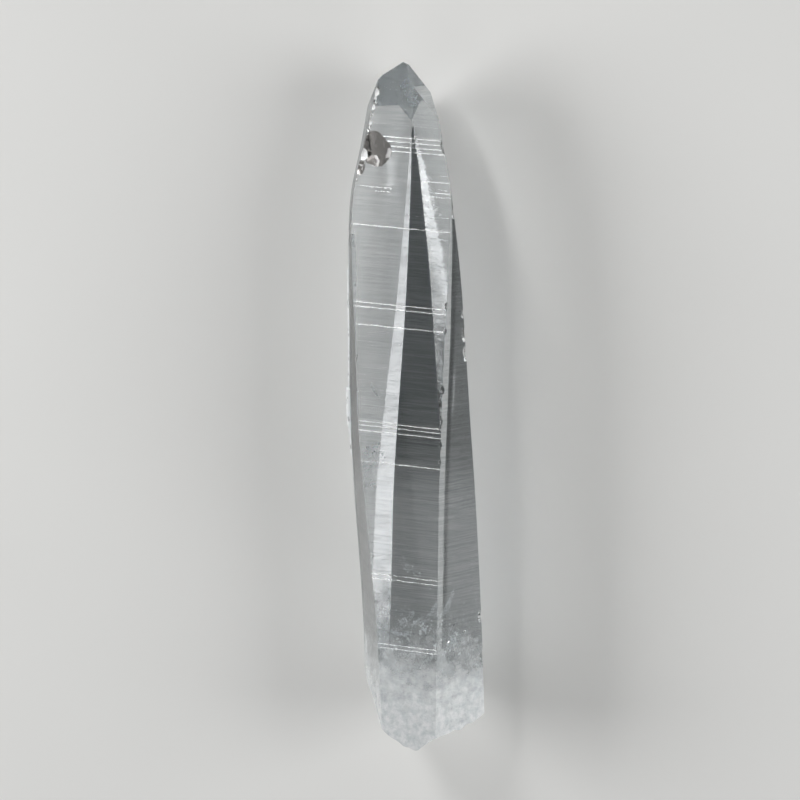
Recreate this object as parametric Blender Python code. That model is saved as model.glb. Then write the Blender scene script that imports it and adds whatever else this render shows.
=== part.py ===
"""Lemurian quartz crystal: one loose, tapered, striated point with a broken, milky end.

The crystal lies along Y with its point towards +Y, and rests on its narrow bottom face at z = 0.
It has six faces all the way along. Each face keeps its direction round the long axis, and only its
reach, the distance of the face from the axis, changes along the length. Three wide faces taper
towards the point in small ledges, and three narrow faces lie between them. Four facets, inclined
as quartz's are, make the point. Sizes are in millimetres until the mesh is made.
"""
import math
import random

import bmesh
import bpy
from mathutils import Vector, noise

MM = 0.001

# Distances from the broken end at which each face's reach is given
STATIONS = (0.0, 20.0, 40.0, 52.0, 64.0, 76.0, 86.0, 94.0, 110.0)

# Reach of each face at the stations, in order round the axis from the top face, 60 degrees apart
TOP, RIGHT, RIGHT_REAR, BOTTOM, LEFT_REAR, LEFT = range(6)
AXIS_HEIGHT = 7.0
REACHES = {
    TOP: (11.05, 10.85, 10.5, 10.1, 9.35, 8.2, 7.05, 5.9, 5.9),
    RIGHT: (11.85, 11.4, 10.85, 10.5, 10.0, 9.35, 8.5, 7.6, 5.8),
    RIGHT_REAR: (9.9, 8.6, 6.9, 5.65, 4.5, 3.25, 1.85, 0.65, -2.65),
    BOTTOM: (AXIS_HEIGHT,) * 9,
    LEFT_REAR: (7.5, 7.3, 7.4, 7.1, 6.75, 6.6, 6.65, 6.8, 6.85),
    LEFT: (6.6, 8.0, 10.1, 11.2, 11.7, 12.2, 12.05, 10.4, 7.7),
}
NARROWEST_FACE = 0.15

# The point: where its facets meet (x, distance from the broken end, z from the axis), how far each
# facet stands outside that meeting point, and quartz's angle between a facet and the long axis
POINT = (-3.5, 106.75, 3.85)
FACET_STAND_OFF = {TOP: 0.0, RIGHT: 0.44, RIGHT_REAR: 0.55, BOTTOM: 3.0, LEFT_REAR: 0.0, LEFT: 1.6}
FACET_ANGLE = math.radians(38.2)

# Growth ledges across the top face, as distances from the broken end, and how deep they are
LEDGES = (
    17.2, 19.4, 22.6, 25.2, 27.6, 28.3, 28.8, 30.8, 31.6, 34.5, 37.0, 40.1, 43.1, 44.3, 45.3, 45.9,
    47.7, 48.8, 50.7, 51.6, 52.1, 54.6, 57.5, 60.2, 61.9, 63.0, 64.7, 66.1, 67.0, 69.6, 70.4, 73.0,
    75.5, 77.8, 80.2, 82.1, 84.0, 85.9, 87.0, 89.0, 91.2, 93.5, 94.2, 95.0, 95.6, 97.4,
)
LEDGE_RISER = 0.12
LEDGE_EXTRA_DROP = (0.02, 0.06)
TREAD_SHARE = 0.8
DEEPEST_DROP = 0.2
OTHER_FACE_LEDGE_CHANCE = 0.6

# The broken end: the break is a shell-like surface, longest under the top face
BREAK_START = 0.3
BREAK_RISE_RIGHT = 2.6
BREAK_RIGHT_FROM = 3.5
BREAK_RIGHT_WIDTH = 4.5
BREAK_RISE_LEFT = 2.6
BREAK_LEFT_FROM = 4.2
BREAK_LEFT_WIDTH = 5.6
BREAK_LEFT_LIMIT = 1.6
BREAK_LEFT_POWER = 1.5
BREAK_RISE_BACK = 7.0
BREAK_BACK_POWER = 2.2
BREAK_RIPPLE = 0.3
BREAK_RIPPLE_SPACING = 3.1
BREAK_SHELF_HEIGHT = 0.7
BREAK_SHELF_SIZE = 5.2
BREAK_ROUGHNESS = 0.45
BREAK_GRAIN = 2.1
BREAK_ZONE_END = 16.0
BREAK_ZONE_RINGS = 7
BREAK_CAP_RINGS = 9

COLUMNS_PER_FACE = 6

# Parallel growths on the left rear edge: start, end, reach, and centre from that edge (x, z)
PARALLEL_GROWTHS = {
    "long": (36.0, 80.0, 1.15, 0.75, -0.95),
    "short": (40.5, 55.7, 1.5, 0.7, -1.2),
}
GROWTH_TAPER_START = 9.0
GROWTH_TAPER_END = {"long": 6.0, "short": 0.4}

# Chips knocked from the edges: distance from the broken end, the two faces that meet at the edge,
# how far the chip runs onto the first face from the edge, the hollow's radius and its depth
CHIPS = (
    (102.4, TOP, LEFT, 0.5, 1.1, 0.32),
    (100.6, TOP, LEFT, 0.1, 0.9, 0.35),
    (98.9, TOP, LEFT, 0.0, 0.7, 0.28),
    (96.9, TOP, LEFT, 0.1, 1.0, 0.35),
    (94.0, TOP, LEFT, 3.98, 5.1, 2.2),
    (91.0, TOP, LEFT, 0.3, 1.5, 0.5),
    (88.9, TOP, LEFT, 0.0, 0.6, 0.2),
    (95.3, TOP, RIGHT_REAR, 0.0, 1.4, 0.4),
    (85.0, RIGHT, RIGHT_REAR, 0.0, 0.8, 0.3),
    (80.0, LEFT, LEFT_REAR, 0.0, 0.7, 0.25),
    (71.0, TOP, RIGHT, 0.0, 0.8, 0.22),
    (69.5, RIGHT, RIGHT_REAR, 0.0, 0.8, 0.3),
    (67.2, TOP, RIGHT, 0.0, 0.7, 0.2),
    (66.4, RIGHT, RIGHT_REAR, 0.2, 1.2, 0.4),
    (63.4, RIGHT, RIGHT_REAR, 0.1, 1.4, 0.4),
    (62.0, TOP, LEFT, 0.0, 0.8, 0.25),
    (58.3, TOP, RIGHT, 0.0, 0.9, 0.25),
    (53.2, TOP, RIGHT, 0.0, 0.7, 0.2),
    (49.6, TOP, RIGHT, 0.0, 0.8, 0.22),
    (46.9, TOP, RIGHT, 0.0, 0.6, 0.2),
    (21.0, RIGHT, RIGHT_REAR, 0.2, 1.5, 0.4),
    (14.5, RIGHT, RIGHT_REAR, 0.3, 2.2, 0.6),
    (11.2, BOTTOM, LEFT_REAR, 0.4, 2.4, 0.6),
)
CHIP_STRETCH_ALONG = 1.25
CHIP_WAVINESS = 0.12

QUARTZ_COLOUR = (0.93, 0.94, 0.95, 1.0)
QUARTZ_IOR = 1.544
QUARTZ_ROUGHNESS = 0.08


def direction(face):
    """The outward direction (x, z) of a face."""
    angle = math.radians(60.0 * face)
    return math.sin(angle), math.cos(angle)


def smooth_profile(values, along):
    """A face's reach at a distance along the axis: a smooth curve through its station values."""
    last = len(STATIONS) - 1
    i = 0
    while i < last - 1 and along > STATIONS[i + 1]:
        i += 1
    slopes = [(values[k + 1] - values[k]) / (STATIONS[k + 1] - STATIONS[k]) for k in range(last)]
    start_slope = slopes[i] if i == 0 else 0.5 * (slopes[i - 1] + slopes[i])
    end_slope = slopes[i] if i == last - 1 else 0.5 * (slopes[i] + slopes[i + 1])
    span = STATIONS[i + 1] - STATIONS[i]
    t = (along - STATIONS[i]) / span
    return ((2 * t ** 3 - 3 * t ** 2 + 1) * values[i] + (t ** 3 - 2 * t ** 2 + t) * span * start_slope
            + (3 * t ** 2 - 2 * t ** 3) * values[i + 1] + (t ** 3 - t ** 2) * span * end_slope)


def choose_ledges():
    """The ledges of each face: all of them on the top face, some of them round the sides."""
    chance = random.Random(5)
    ledges = {BOTTOM: []}
    for face in (TOP, RIGHT, RIGHT_REAR, LEFT_REAR, LEFT):
        kept = [h for h in LEDGES if face == TOP or chance.random() < OTHER_FACE_LEDGE_CHANCE]
        ledges[face] = [(h, chance.uniform(*LEDGE_EXTRA_DROP)) for h in kept]
    return ledges


FACE_LEDGES = choose_ledges()


def ledge_offset(face, along):
    """How far the stepped face stands off its smooth profile: treads with a sudden drop between."""
    offset = 0.0
    ledges = FACE_LEDGES[face]
    for (low, _), (high, extra) in zip(ledges, ledges[1:]):
        if low <= along < high:
            values = REACHES[face]
            fall = smooth_profile(values, low) - smooth_profile(values, high)
            drop = min(DEEPEST_DROP, TREAD_SHARE * max(0.0, fall) + extra)
            tread = high - low - LEDGE_RISER
            riser_start = high - LEDGE_RISER
            if along <= riser_start:
                phase = (along - low) / tread
            else:
                phase = (high - along) / LEDGE_RISER
            offset = drop * (phase - 1.0)
    return offset


def reaches_at(along):
    """The reach of every face at a distance along the axis, with the point's facets."""
    found = []
    for face in range(6):
        x, z = direction(face)
        side = smooth_profile(REACHES[face], along) + ledge_offset(face, along)
        facet = x * POINT[0] + z * POINT[2] + FACET_STAND_OFF[face]
        facet += (POINT[1] - along) * math.tan(FACET_ANGLE)
        found.append(min(side, facet))
    return found


def meeting_point(face_a, face_b, reaches):
    """Where two faces' lines meet in the section, as (x, z)."""
    ax, az = direction(face_a)
    bx, bz = direction(face_b)
    det = ax * bz - az * bx
    return ((reaches[face_a] * bz - reaches[face_b] * az) / det,
            (ax * reaches[face_b] - bx * reaches[face_a]) / det)


def corner(before, after, reaches):
    """Corner (x, z) between two faces that follow each other, never under the bottom face."""
    x, z = meeting_point(before, after, reaches)
    return x, max(z, -AXIS_HEIGHT)


def section(reaches):
    """Start and end corner of every face in the section; a face that has run out is one corner."""
    live = list(range(6))
    while len(live) > 3:
        widths = []
        for i, face in enumerate(live):
            start = meeting_point(live[i - 1], face, reaches)
            end = meeting_point(face, live[(i + 1) % len(live)], reaches)
            x, z = direction(face)
            widths.append(((end[0] - start[0]) * z - (end[1] - start[1]) * x, face))
        width, face = min(widths)
        if width >= NARROWEST_FACE:
            break
        live.remove(face)
    corners = []
    for face in range(6):
        before = max((f for f in live if f < face), default=max(live))
        after = min((f for f in live if f > face), default=min(live))
        if face in live:
            corners.append((corner(before, face, reaches), corner(face, after, reaches)))
        else:
            corners.append((corner(before, after, reaches),) * 2)
    return corners


def break_height(x, z):
    """Height of the broken end above its lowest place, at a place in the section."""
    top = REACHES[TOP][0]
    back = min(1.0, max(0.0, (top - z) / (top + AXIS_HEIGHT)))
    right = min(1.0, max(0.0, (x - BREAK_RIGHT_FROM) / BREAK_RIGHT_WIDTH))
    right = right * right * (3.0 - 2.0 * right)
    left = min(BREAK_LEFT_LIMIT, max(0.0, (BREAK_LEFT_FROM - x) / BREAK_LEFT_WIDTH))
    left = left ** BREAK_LEFT_POWER
    distance = math.hypot(x - 2.0, z - top)
    ripple = BREAK_RIPPLE * math.sin(2.0 * math.pi * distance / BREAK_RIPPLE_SPACING) * back
    shelf = noise.noise(Vector((x / BREAK_SHELF_SIZE, 8.3, z / BREAK_SHELF_SIZE)))
    shelf = BREAK_SHELF_HEIGHT * back * math.tanh(6.0 * shelf)
    grain = BREAK_ROUGHNESS * abs(noise.noise(Vector((x / BREAK_GRAIN, 3.7, z / BREAK_GRAIN))))
    return (BREAK_START + BREAK_RISE_RIGHT * right + BREAK_RISE_LEFT * left
            + BREAK_RISE_BACK * back ** BREAK_BACK_POWER + ripple + shelf + grain)


def column_place(corners, column):
    """Place (x, z) of one column of points round the section."""
    face, step = divmod(column, COLUMNS_PER_FACE)
    start, end = corners[face]
    share = step / COLUMNS_PER_FACE
    return start[0] + share * (end[0] - start[0]), start[1] + share * (end[1] - start[1])


def body_rings():
    """Rings of points (x, along, z) from the break's rim to just under the point."""
    count = 6 * COLUMNS_PER_FACE
    rim = []
    for column in range(count):
        along = BREAK_START
        for _ in range(4):
            x, z = column_place(section(reaches_at(along)), column)
            along = break_height(x, z)
        rim.append(along)
    rings = []
    for ring in range(BREAK_ZONE_RINGS):
        share = ring / BREAK_ZONE_RINGS
        points = []
        for column in range(count):
            along = rim[column] + share * (BREAK_ZONE_END - rim[column])
            x, z = column_place(section(reaches_at(along)), column)
            points.append((x, along, z))
        rings.append(points)
    heights = {BREAK_ZONE_END, 98.3, 99.4, 100.4, 101.4, 102.6, 103.4, 104.2, 105.0, 105.8, 106.3}
    for ledge in LEDGES:
        heights.update((ledge - LEDGE_RISER, ledge))
    for along in sorted(heights):
        corners = section(reaches_at(along))
        points = [column_place(corners, column) for column in range(count)]
        rings.append([(x, along, z) for x, z in points])
    return rings


def cap_rings(rim):
    """Rings of points from the break's rim to its middle, for the broken surface."""
    centre_x = sum(p[0] for p in rim) / len(rim)
    centre_z = sum(p[2] for p in rim) / len(rim)
    rings = []
    for ring in range(1, BREAK_CAP_RINGS):
        share = 1.0 - ring / BREAK_CAP_RINGS
        points = []
        for x, _, z in rim:
            px = centre_x + share * (x - centre_x)
            pz = centre_z + share * (z - centre_z)
            points.append((px, break_height(px, pz), pz))
        rings.append(points)
    return rings, (centre_x, break_height(centre_x, centre_z), centre_z)


def growth_rings(name):
    """Rings of a thin parallel growth, which follows the left rear edge."""
    start, end, reach, off_x, off_z = PARALLEL_GROWTHS[name]
    rings = []
    steps = 16
    for step in range(steps + 1):
        along = start + (end - start) * step / steps
        fade_in = min(1.0, (along - start) / GROWTH_TAPER_START)
        fade_out = min(1.0, (end - along) / GROWTH_TAPER_END[name])
        size = reach * (0.35 + 0.65 * fade_in) * (0.5 + 0.5 * fade_out)
        edge = meeting_point(LEFT_REAR, LEFT, reaches_at(along))
        centre = (edge[0] + off_x + 0.5 * (reach - size), edge[1] + off_z)
        ring = []
        for face in range(6):
            x, z = meeting_point(face, (face + 1) % 6, [size] * 6)
            ring.append((centre[0] + x, along, centre[1] + z))
        rings.append(ring)
    return rings


def bounds_shift():
    """The move that puts the middle of the crystal's box over the origin, along x and y."""
    points = [p for ring in body_rings() for p in ring]
    points += [p for name in PARALLEL_GROWTHS for ring in growth_rings(name) for p in ring]
    xs = [p[0] for p in points]
    ys = [p[1] for p in points] + [POINT[1]]
    return -0.5 * (min(xs) + max(xs)), -0.5 * (min(ys) + max(ys))


SHIFT_X, SHIFT_Y = bounds_shift()


def place(point):
    """A point of the crystal in metres, standing on z = 0."""
    x, along, z = point
    return Vector(((x + SHIFT_X) * MM, (along + SHIFT_Y) * MM, (z + AXIS_HEIGHT) * MM))


def join_rings(bm, lower, upper):
    """Quads between two rings of vertices."""
    count = len(lower)
    for i in range(count):
        j = (i + 1) % count
        bm.faces.new((lower[i], lower[j], upper[j], upper[i]))


def fan(bm, ring, tip):
    """Triangles from a ring of vertices to one vertex."""
    count = len(ring)
    for i in range(count):
        bm.faces.new((ring[i], ring[(i + 1) % count], tip))


def finish_mesh(bm, name):
    """Merges the corners of faces that have run out, points every face outwards, makes an object."""
    bmesh.ops.remove_doubles(bm, verts=bm.verts, dist=0.004 * MM)
    bmesh.ops.triangulate(bm, faces=bm.faces)
    bmesh.ops.recalc_face_normals(bm, faces=bm.faces)
    mesh = bpy.data.meshes.new(name)
    bm.to_mesh(mesh)
    bm.free()
    thing = bpy.data.objects.new(name, mesh)
    bpy.context.collection.objects.link(thing)
    return thing


def make_quartz_material():
    """Clear, colourless quartz."""
    material = bpy.data.materials.new("clear_quartz")
    material.use_nodes = True
    shader = material.node_tree.nodes["Principled BSDF"]
    shader.inputs["Base Color"].default_value = QUARTZ_COLOUR
    shader.inputs["Roughness"].default_value = QUARTZ_ROUGHNESS
    shader.inputs["Metallic"].default_value = 0.0
    shader.inputs["IOR"].default_value = QUARTZ_IOR
    shader.inputs["Transmission Weight"].default_value = 1.0
    return material


def make_body():
    """The six-sided body with its ledges, point and broken end."""
    bm = bmesh.new()
    rings = body_rings()
    rows = [[bm.verts.new(place(p)) for p in ring] for ring in rings]
    for lower, upper in zip(rows, rows[1:]):
        join_rings(bm, lower, upper)
    fan(bm, rows[-1], bm.verts.new(place(POINT)))
    cap, middle = cap_rings(rings[0])
    inner = [rows[0]] + [[bm.verts.new(place(p)) for p in ring] for ring in cap]
    for outer, inside in zip(inner, inner[1:]):
        join_rings(bm, outer, inside)
    fan(bm, inner[-1], bm.verts.new(place(middle)))
    return finish_mesh(bm, "quartz_crystal")


def add_boolean(body, cutter, operation):
    """Joins a cutter to the body's stack of exact Booleans and hides it."""
    cutter.hide_render = True
    cutter.display_type = 'WIRE'
    modifier = body.modifiers.new(cutter.name, 'BOOLEAN')
    modifier.operation = operation
    modifier.solver = 'EXACT'
    modifier.object = cutter


def make_growth(name):
    """A thin crystal grown along the left rear edge, to be fused to the body."""
    bm = bmesh.new()
    rows = [[bm.verts.new(place(p)) for p in ring] for ring in growth_rings(name)]
    for lower, upper in zip(rows, rows[1:]):
        join_rings(bm, lower, upper)
    bm.faces.new(rows[0])
    bm.faces.new(rows[-1])
    return finish_mesh(bm, "parallel_growth_" + name)


def make_chip(number, chip):
    """The hollow of one chip, a wavy ball sunk into the edge to the chip's depth."""
    along, face_a, face_b, onto_face, radius, depth = chip
    edge = meeting_point(face_a, face_b, reaches_at(along))
    ax, az = direction(face_a)
    bx, bz = direction(face_b)
    length = math.hypot(ax + bx, az + bz)
    out_x, out_z = (ax + bx) / length, (az + bz) / length
    into_x, into_z = ax - bx, az - bz
    into_length = math.hypot(into_x, into_z)
    centre = (edge[0] + out_x * (radius - depth) + into_x / into_length * onto_face,
              along,
              edge[1] + out_z * (radius - depth) + into_z / into_length * onto_face)
    bm = bmesh.new()
    bmesh.ops.create_icosphere(bm, subdivisions=2, radius=1.0)
    middle = place(centre)
    for vertex in bm.verts:
        away = vertex.co.copy()
        wave = 1.0 + CHIP_WAVINESS * noise.noise(away * 1.7 + Vector((number * 3.1, 0.0, 0.0)))
        away.y *= CHIP_STRETCH_ALONG
        vertex.co = middle + away * radius * wave * MM
    return finish_mesh(bm, f"chip_{number:02d}")


def main():
    """Models the crystal."""
    for thing in list(bpy.data.objects):
        bpy.data.objects.remove(thing, do_unlink=True)
    body = make_body()
    body.data.materials.append(make_quartz_material())
    for name in PARALLEL_GROWTHS:
        add_boolean(body, make_growth(name), 'UNION')
    for number, chip in enumerate(CHIPS):
        add_boolean(body, make_chip(number, chip), 'DIFFERENCE')


main()
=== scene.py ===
"""Dressed scene of one lemurian quartz crystal lying on a pale floor.

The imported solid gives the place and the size. A fine mesh of the same faces stands for it, with growth
ledges, striations, chips and a shell-like break, and the milky end is filled with flakes and veils.
The crystal lies along Y. Its own sizes are in mm: x across, the distance along from the broken end,
and z up from the axis.
"""

import logging
import math
import random
from dataclasses import dataclass, field
from enum import IntEnum
from typing import Callable, Sequence

import bmesh
import bpy
import numpy as np
from mathutils import Matrix, Vector, noise


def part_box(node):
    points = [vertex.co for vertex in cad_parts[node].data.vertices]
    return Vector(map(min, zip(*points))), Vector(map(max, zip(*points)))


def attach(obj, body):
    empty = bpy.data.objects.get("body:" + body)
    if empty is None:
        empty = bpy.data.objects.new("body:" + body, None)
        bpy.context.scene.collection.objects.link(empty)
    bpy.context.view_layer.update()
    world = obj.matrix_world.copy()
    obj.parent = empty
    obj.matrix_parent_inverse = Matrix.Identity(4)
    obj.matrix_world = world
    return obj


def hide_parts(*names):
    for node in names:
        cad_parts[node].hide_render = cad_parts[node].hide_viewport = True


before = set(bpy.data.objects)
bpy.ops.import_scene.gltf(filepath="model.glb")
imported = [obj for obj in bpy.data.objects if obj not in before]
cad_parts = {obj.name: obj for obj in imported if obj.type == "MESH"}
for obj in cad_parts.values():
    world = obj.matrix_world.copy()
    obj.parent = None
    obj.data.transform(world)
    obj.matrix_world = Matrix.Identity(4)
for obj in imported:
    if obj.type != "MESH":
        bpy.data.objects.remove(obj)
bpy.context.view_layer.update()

NODE = "quartz_crystal"
BODY = "root"
MM = 0.001
QUARTZ_IOR = 1.544

Point = tuple[float, float, float]
Flat = tuple[float, float]
Colour = tuple[float, float, float, float]


class Face(IntEnum):
    """The six faces in order round the long axis, 60 degrees apart."""

    TOP = 0
    RIGHT = 1
    RIGHT_REAR = 2
    BOTTOM = 3
    LEFT_REAR = 4
    LEFT = 5


class Skin(IntEnum):
    """Material slots of the crystal's mesh, one for each way that its surface was made."""

    GROWTH = 0
    CHIP = 1
    BREAK = 2
    MILKY = 3
    PLATE = 4
    CRUSHED = 5
    DUSKY_CHIP = 6
    # RESTING is the face that the crystal lies on, whose finish multiplies painted shade into its tint.
    RESTING = 7


GROWN_SKINS = {Skin.GROWTH, Skin.MILKY, Skin.RESTING}


def linear(hex_colour: str) -> Colour:
    """Turns an sRGB hex colour into linear RGBA.

    Args:
        hex_colour: The colour, such as "#f0f2f3".

    Returns:
        Its linear red, green and blue, and one for alpha.
    """
    values = [int(hex_colour[i:i + 2], 16) / 255.0 for i in (1, 3, 5)]
    red, green, blue = (v / 12.92 if v <= 0.04045 else ((v + 0.055) / 1.055) ** 2.4 for v in values)
    return red, green, blue, 1.0


def direction(face: int) -> Flat:
    """Outward direction (x, z) of a face."""
    angle = math.radians(60.0 * face)
    return math.sin(angle), math.cos(angle)


def meeting_point(face_a: int, reach_a: float, face_b: int, reach_b: float) -> Flat:
    """Finds where two faces' lines meet in the section.

    Args:
        face_a: One face.
        reach_a: Its distance from the axis, mm.
        face_b: The other face.
        reach_b: Its distance from the axis, mm.

    Returns:
        The place (x, z) in mm from the axis.
    """
    ax, az = direction(face_a)
    bx, bz = direction(face_b)
    det = ax * bz - az * bx
    return (reach_a * bz - reach_b * az) / det, (ax * reach_b - bx * reach_a) / det


@dataclass(frozen=True)
class StepStyle:
    """How one face steps down towards the point. Sizes in mm.

    Attributes:
        seed: Seed of the random steps.
        tread: Mean length of a tread between the named ledges.
        share: Share of the face's taper that its steps take up.
        deepest: Deepest drop of a common step.
        bow: How far the face is hollowed between its edges.
    """

    seed: int
    tread: float
    share: float
    deepest: float
    bow: float


class GrowthSteps:
    """Growth steps of one face: flat treads with sudden drops, as offsets from its smooth reach.

    Args:
        style: How the face steps.
        reach: Smooth reach of the face at a distance along the axis, mm.
        ledges: Distances of the named ledges, each with its height, mm.
        end: Where the steps end, mm.

    Attributes:
        GRAIN: Spacing of the values kept along the face, mm.
        SHORTEST_TREAD: Shortest tread, mm.
        RISER: Length of the slope that a named ledge drops over, mm.
        UNEVENNESS: Random part of a common step, as a share of the deepest.
        SECOND_DRAW: What is added to the seed for the second set of steps.
        BOW_SPREAD: How much the hollowing varies along the face.
        BOW_LENGTH: Length over which it varies, mm.
        MIX_SPREAD: How sharply the two sets of steps change over.
        MIX_LENGTH: Length over which they change over, mm.
    """

    GRAIN = 0.02
    SHORTEST_TREAD = 0.12
    RISER = 0.085
    UNEVENNESS = 0.15
    SECOND_DRAW = 100
    BOW_SPREAD = 0.8
    BOW_LENGTH = 11.0
    MIX_SPREAD = 1.6
    MIX_LENGTH = 2.6

    def __init__(self, style: StepStyle, reach: Callable[[float], float],
                 ledges: Sequence[Flat], end: float) -> None:
        """Draws the two sets of steps that the face changes between."""
        self.style = style
        self.reach = reach
        self.ledges = sorted(ledges)
        self.end = end
        self.profiles = (self.draw(style.seed), self.draw(style.seed + self.SECOND_DRAW))

    def draw(self, seed: int) -> np.ndarray:
        """Draws one set of steps.

        Args:
            seed: Seed of the random steps.

        Returns:
            Offsets of the face along its length in mm, zero or inwards.
        """
        style = self.style
        chance = random.Random(seed)
        named = dict(self.ledges)
        marks = [0.0]
        while marks[-1] < self.end:
            step = marks[-1] + max(self.SHORTEST_TREAD, chance.expovariate(1.0 / style.tread))
            passed = [h for h in named if marks[-1] < h <= step + self.SHORTEST_TREAD]
            marks.append(min(passed) if passed else step)
        profile = np.zeros(int(self.end / self.GRAIN) + 2)
        for low, high in zip(marks, marks[1:]):
            fall = style.share * max(0.0, self.reach(low) - self.reach(high))
            fall += self.UNEVENNESS * style.deepest * chance.random() ** 2
            drop = min(style.deepest, fall)
            if low in named:
                drop = max(0.0, named[low] - max(0.0, self.reach(low - self.RISER) - self.reach(low)))
            first, last = int(low / self.GRAIN), min(len(profile), int(high / self.GRAIN))
            phase = (np.arange(first, last) - first) / max(1, last - first)
            profile[first:last] = drop * (phase - 1.0)
        return profile

    def at(self, share: float, along: float) -> float:
        """Finds the offset of the face.

        Args:
            share: Place across the face, 0 at its start and 1 at its end.
            along: Distance from the broken end, mm.

        Returns:
            The offset in mm, zero or inwards.
        """
        seed = float(self.style.seed)
        bow = 0.5 + self.BOW_SPREAD * noise.noise(Vector((share * 1.3, along / self.BOW_LENGTH, seed)))
        offset = -self.style.bow * bow * 4.0 * share * (1.0 - share)
        if along >= self.end:
            return min(0.0, offset)
        place = min(len(self.profiles[0]) - 1, int(along / self.GRAIN))
        change = noise.noise(Vector((share * 2.4 + seed, along / self.MIX_LENGTH, 0.3)))
        mix = 0.5 + self.MIX_SPREAD * change
        mix = min(1.0, max(0.0, mix))
        offset += mix * self.profiles[0][place] + (1.0 - mix) * self.profiles[1][place]
        return min(0.0, float(offset))


@dataclass
class Habit:
    """Form of the crystal. Sizes in mm, distances along it from the broken end.

    Attributes:
        stations: Distances at which the faces' reaches are given.
        axis_height: Height of the axis over the floor.
        reaches: Distance of each prism face from the axis at each station.
        narrowest_face: Width under which a face has run out.
        point: The point (x, along, z).
        facet_stand_off: How far each facet of the point stands off from it.
        facet_angle: How far a facet leans from the axis.
        strong_ledges: Where the ledges lie that catch the light.
        faint_ledges: Where the fainter ones lie.
        strong_drop: Height of a strong ledge.
        faint_drop: Least and greatest height of a faint one.
        ledge_seed: Seed of the faint ledges' heights and of which ledges run round the sides.
        side_ledge_chance: Chance that a ledge runs on round a side.
        side_ledge_share: Its height there, as a share.
        steps_end: Where the growth steps end.
        styles: How each face steps.
        side_shift: Where the axis lies across the solid's box.
        point_clearance: How far the point stays inside the solid's box.
        shift: Where the broken end's axis lies in the frame, metres.
        steps: The growth steps of each face.
    """

    stations: tuple[float, ...] = (0.0, 20.0, 40.0, 52.0, 64.0, 76.0, 86.0, 94.0, 110.0)
    axis_height: float = 7.0
    reaches: dict[int, tuple[float, ...]] = field(default_factory=lambda: {
        Face.TOP: (11.05, 10.85, 10.5, 10.1, 9.35, 8.2, 7.05, 5.9, 5.9),
        Face.RIGHT: (11.85, 11.4, 10.85, 10.5, 10.0, 9.35, 8.5, 7.6, 5.8),
        Face.RIGHT_REAR: (9.9, 8.6, 6.9, 5.65, 4.5, 3.25, 1.85, 0.65, -2.65),
        Face.BOTTOM: (7.0,) * 9,
        Face.LEFT_REAR: (7.5, 7.3, 7.4, 7.1, 6.75, 6.6, 6.65, 6.8, 6.85),
        Face.LEFT: (6.6, 8.0, 10.1, 11.2, 11.7, 12.2, 12.05, 10.4, 7.7),
    })
    narrowest_face: float = 0.05
    point: Point = (-3.5, 106.75, 3.85)
    facet_stand_off: tuple[float, ...] = (0.0, 0.44, 0.55, 3.0, 0.0, 1.6)
    facet_angle: float = math.radians(38.2)
    strong_ledges: tuple[float, ...] = (
        16.6, 17.2, 27.6, 28.3, 45.9, 50.7, 51.5, 52.1, 67.0, 69.7, 70.4, 82.1, 93.5, 94.2, 94.9, 95.6)
    faint_ledges: tuple[float, ...] = (
        19.4, 22.6, 25.2, 28.9, 30.8, 31.6, 34.5, 37.0, 40.1, 43.1, 44.3, 45.3, 47.7, 48.8, 54.6,
        57.5, 60.2, 61.9, 63.0, 64.7, 66.1, 73.0, 75.5, 77.8, 80.2, 84.0, 85.9, 87.0, 89.0, 91.2, 97.4)
    strong_drop: float = 0.0505
    faint_drop: Flat = (0.01, 0.023)
    ledge_seed: int = 5
    side_ledge_chance: float = 0.5
    side_ledge_share: float = 0.25
    steps_end: float = 99.0
    styles: dict[int, StepStyle] = field(default_factory=lambda: {
        Face.TOP: StepStyle(11, 0.32, 0.5, 0.031, 0.02),
        Face.RIGHT: StepStyle(12, 1.3, 0.4, 0.01, 0.015),
        Face.RIGHT_REAR: StepStyle(13, 0.3, 0.4, 0.03, 0.03),
        Face.BOTTOM: StepStyle(14, 2.0, 0.0, 0.0, 0.0),
        Face.LEFT_REAR: StepStyle(15, 0.5, 0.4, 0.015, 0.04),
        Face.LEFT: StepStyle(16, 1.3, 0.4, 0.01, 0.015),
    })
    side_shift: float = -0.353
    point_clearance: float = 0.001
    shift: Point = (0.0, 0.0, 0.0)
    steps: dict[int, GrowthSteps] = field(init=False)

    def __post_init__(self) -> None:
        """Draws which ledges run round the sides, and the growth steps of each face."""
        chance = random.Random(self.ledge_seed)
        self.steps = {}
        for face, style in self.styles.items():
            named = []
            for height in self.strong_ledges + self.faint_ledges:
                strong = height in self.strong_ledges
                drop = self.strong_drop if strong else chance.uniform(*self.faint_drop)
                if face == Face.TOP:
                    named.append((height, drop))
                elif face != Face.BOTTOM and chance.random() < self.side_ledge_chance:
                    named.append((height, drop * self.side_ledge_share))
            self.steps[face] = GrowthSteps(style, lambda along, face=face: self.smooth_reach(face, along),
                                           named, self.steps_end)

    def move_into(self, box: Sequence[Point]) -> None:
        """Puts the point just inside the far end of a box, given by its two corners in metres."""
        end_y = box[1][1] - (self.point[1] + self.point_clearance) * MM
        self.shift = (self.side_shift * MM, end_y, 0.0)

    def place(self, point: Point) -> Vector:
        """A point of the crystal in the frame, in metres."""
        x, along, z = point
        return Vector((x, along, z + self.axis_height)) * MM + Vector(self.shift)

    def smooth_reach(self, face: int, along: float) -> float:
        """Finds the reach of a face without its steps, on a smooth curve through its stations.

        Args:
            face: The face.
            along: Distance from the broken end, mm.

        Returns:
            Its distance from the axis, mm.
        """
        values = self.reaches[face]
        stations = self.stations
        last = len(stations) - 1
        i = 0
        while i < last - 1 and along > stations[i + 1]:
            i += 1

        def slope(k: int) -> float:
            """Slope of the face between two stations."""
            return (values[k + 1] - values[k]) / (stations[k + 1] - stations[k])

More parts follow.
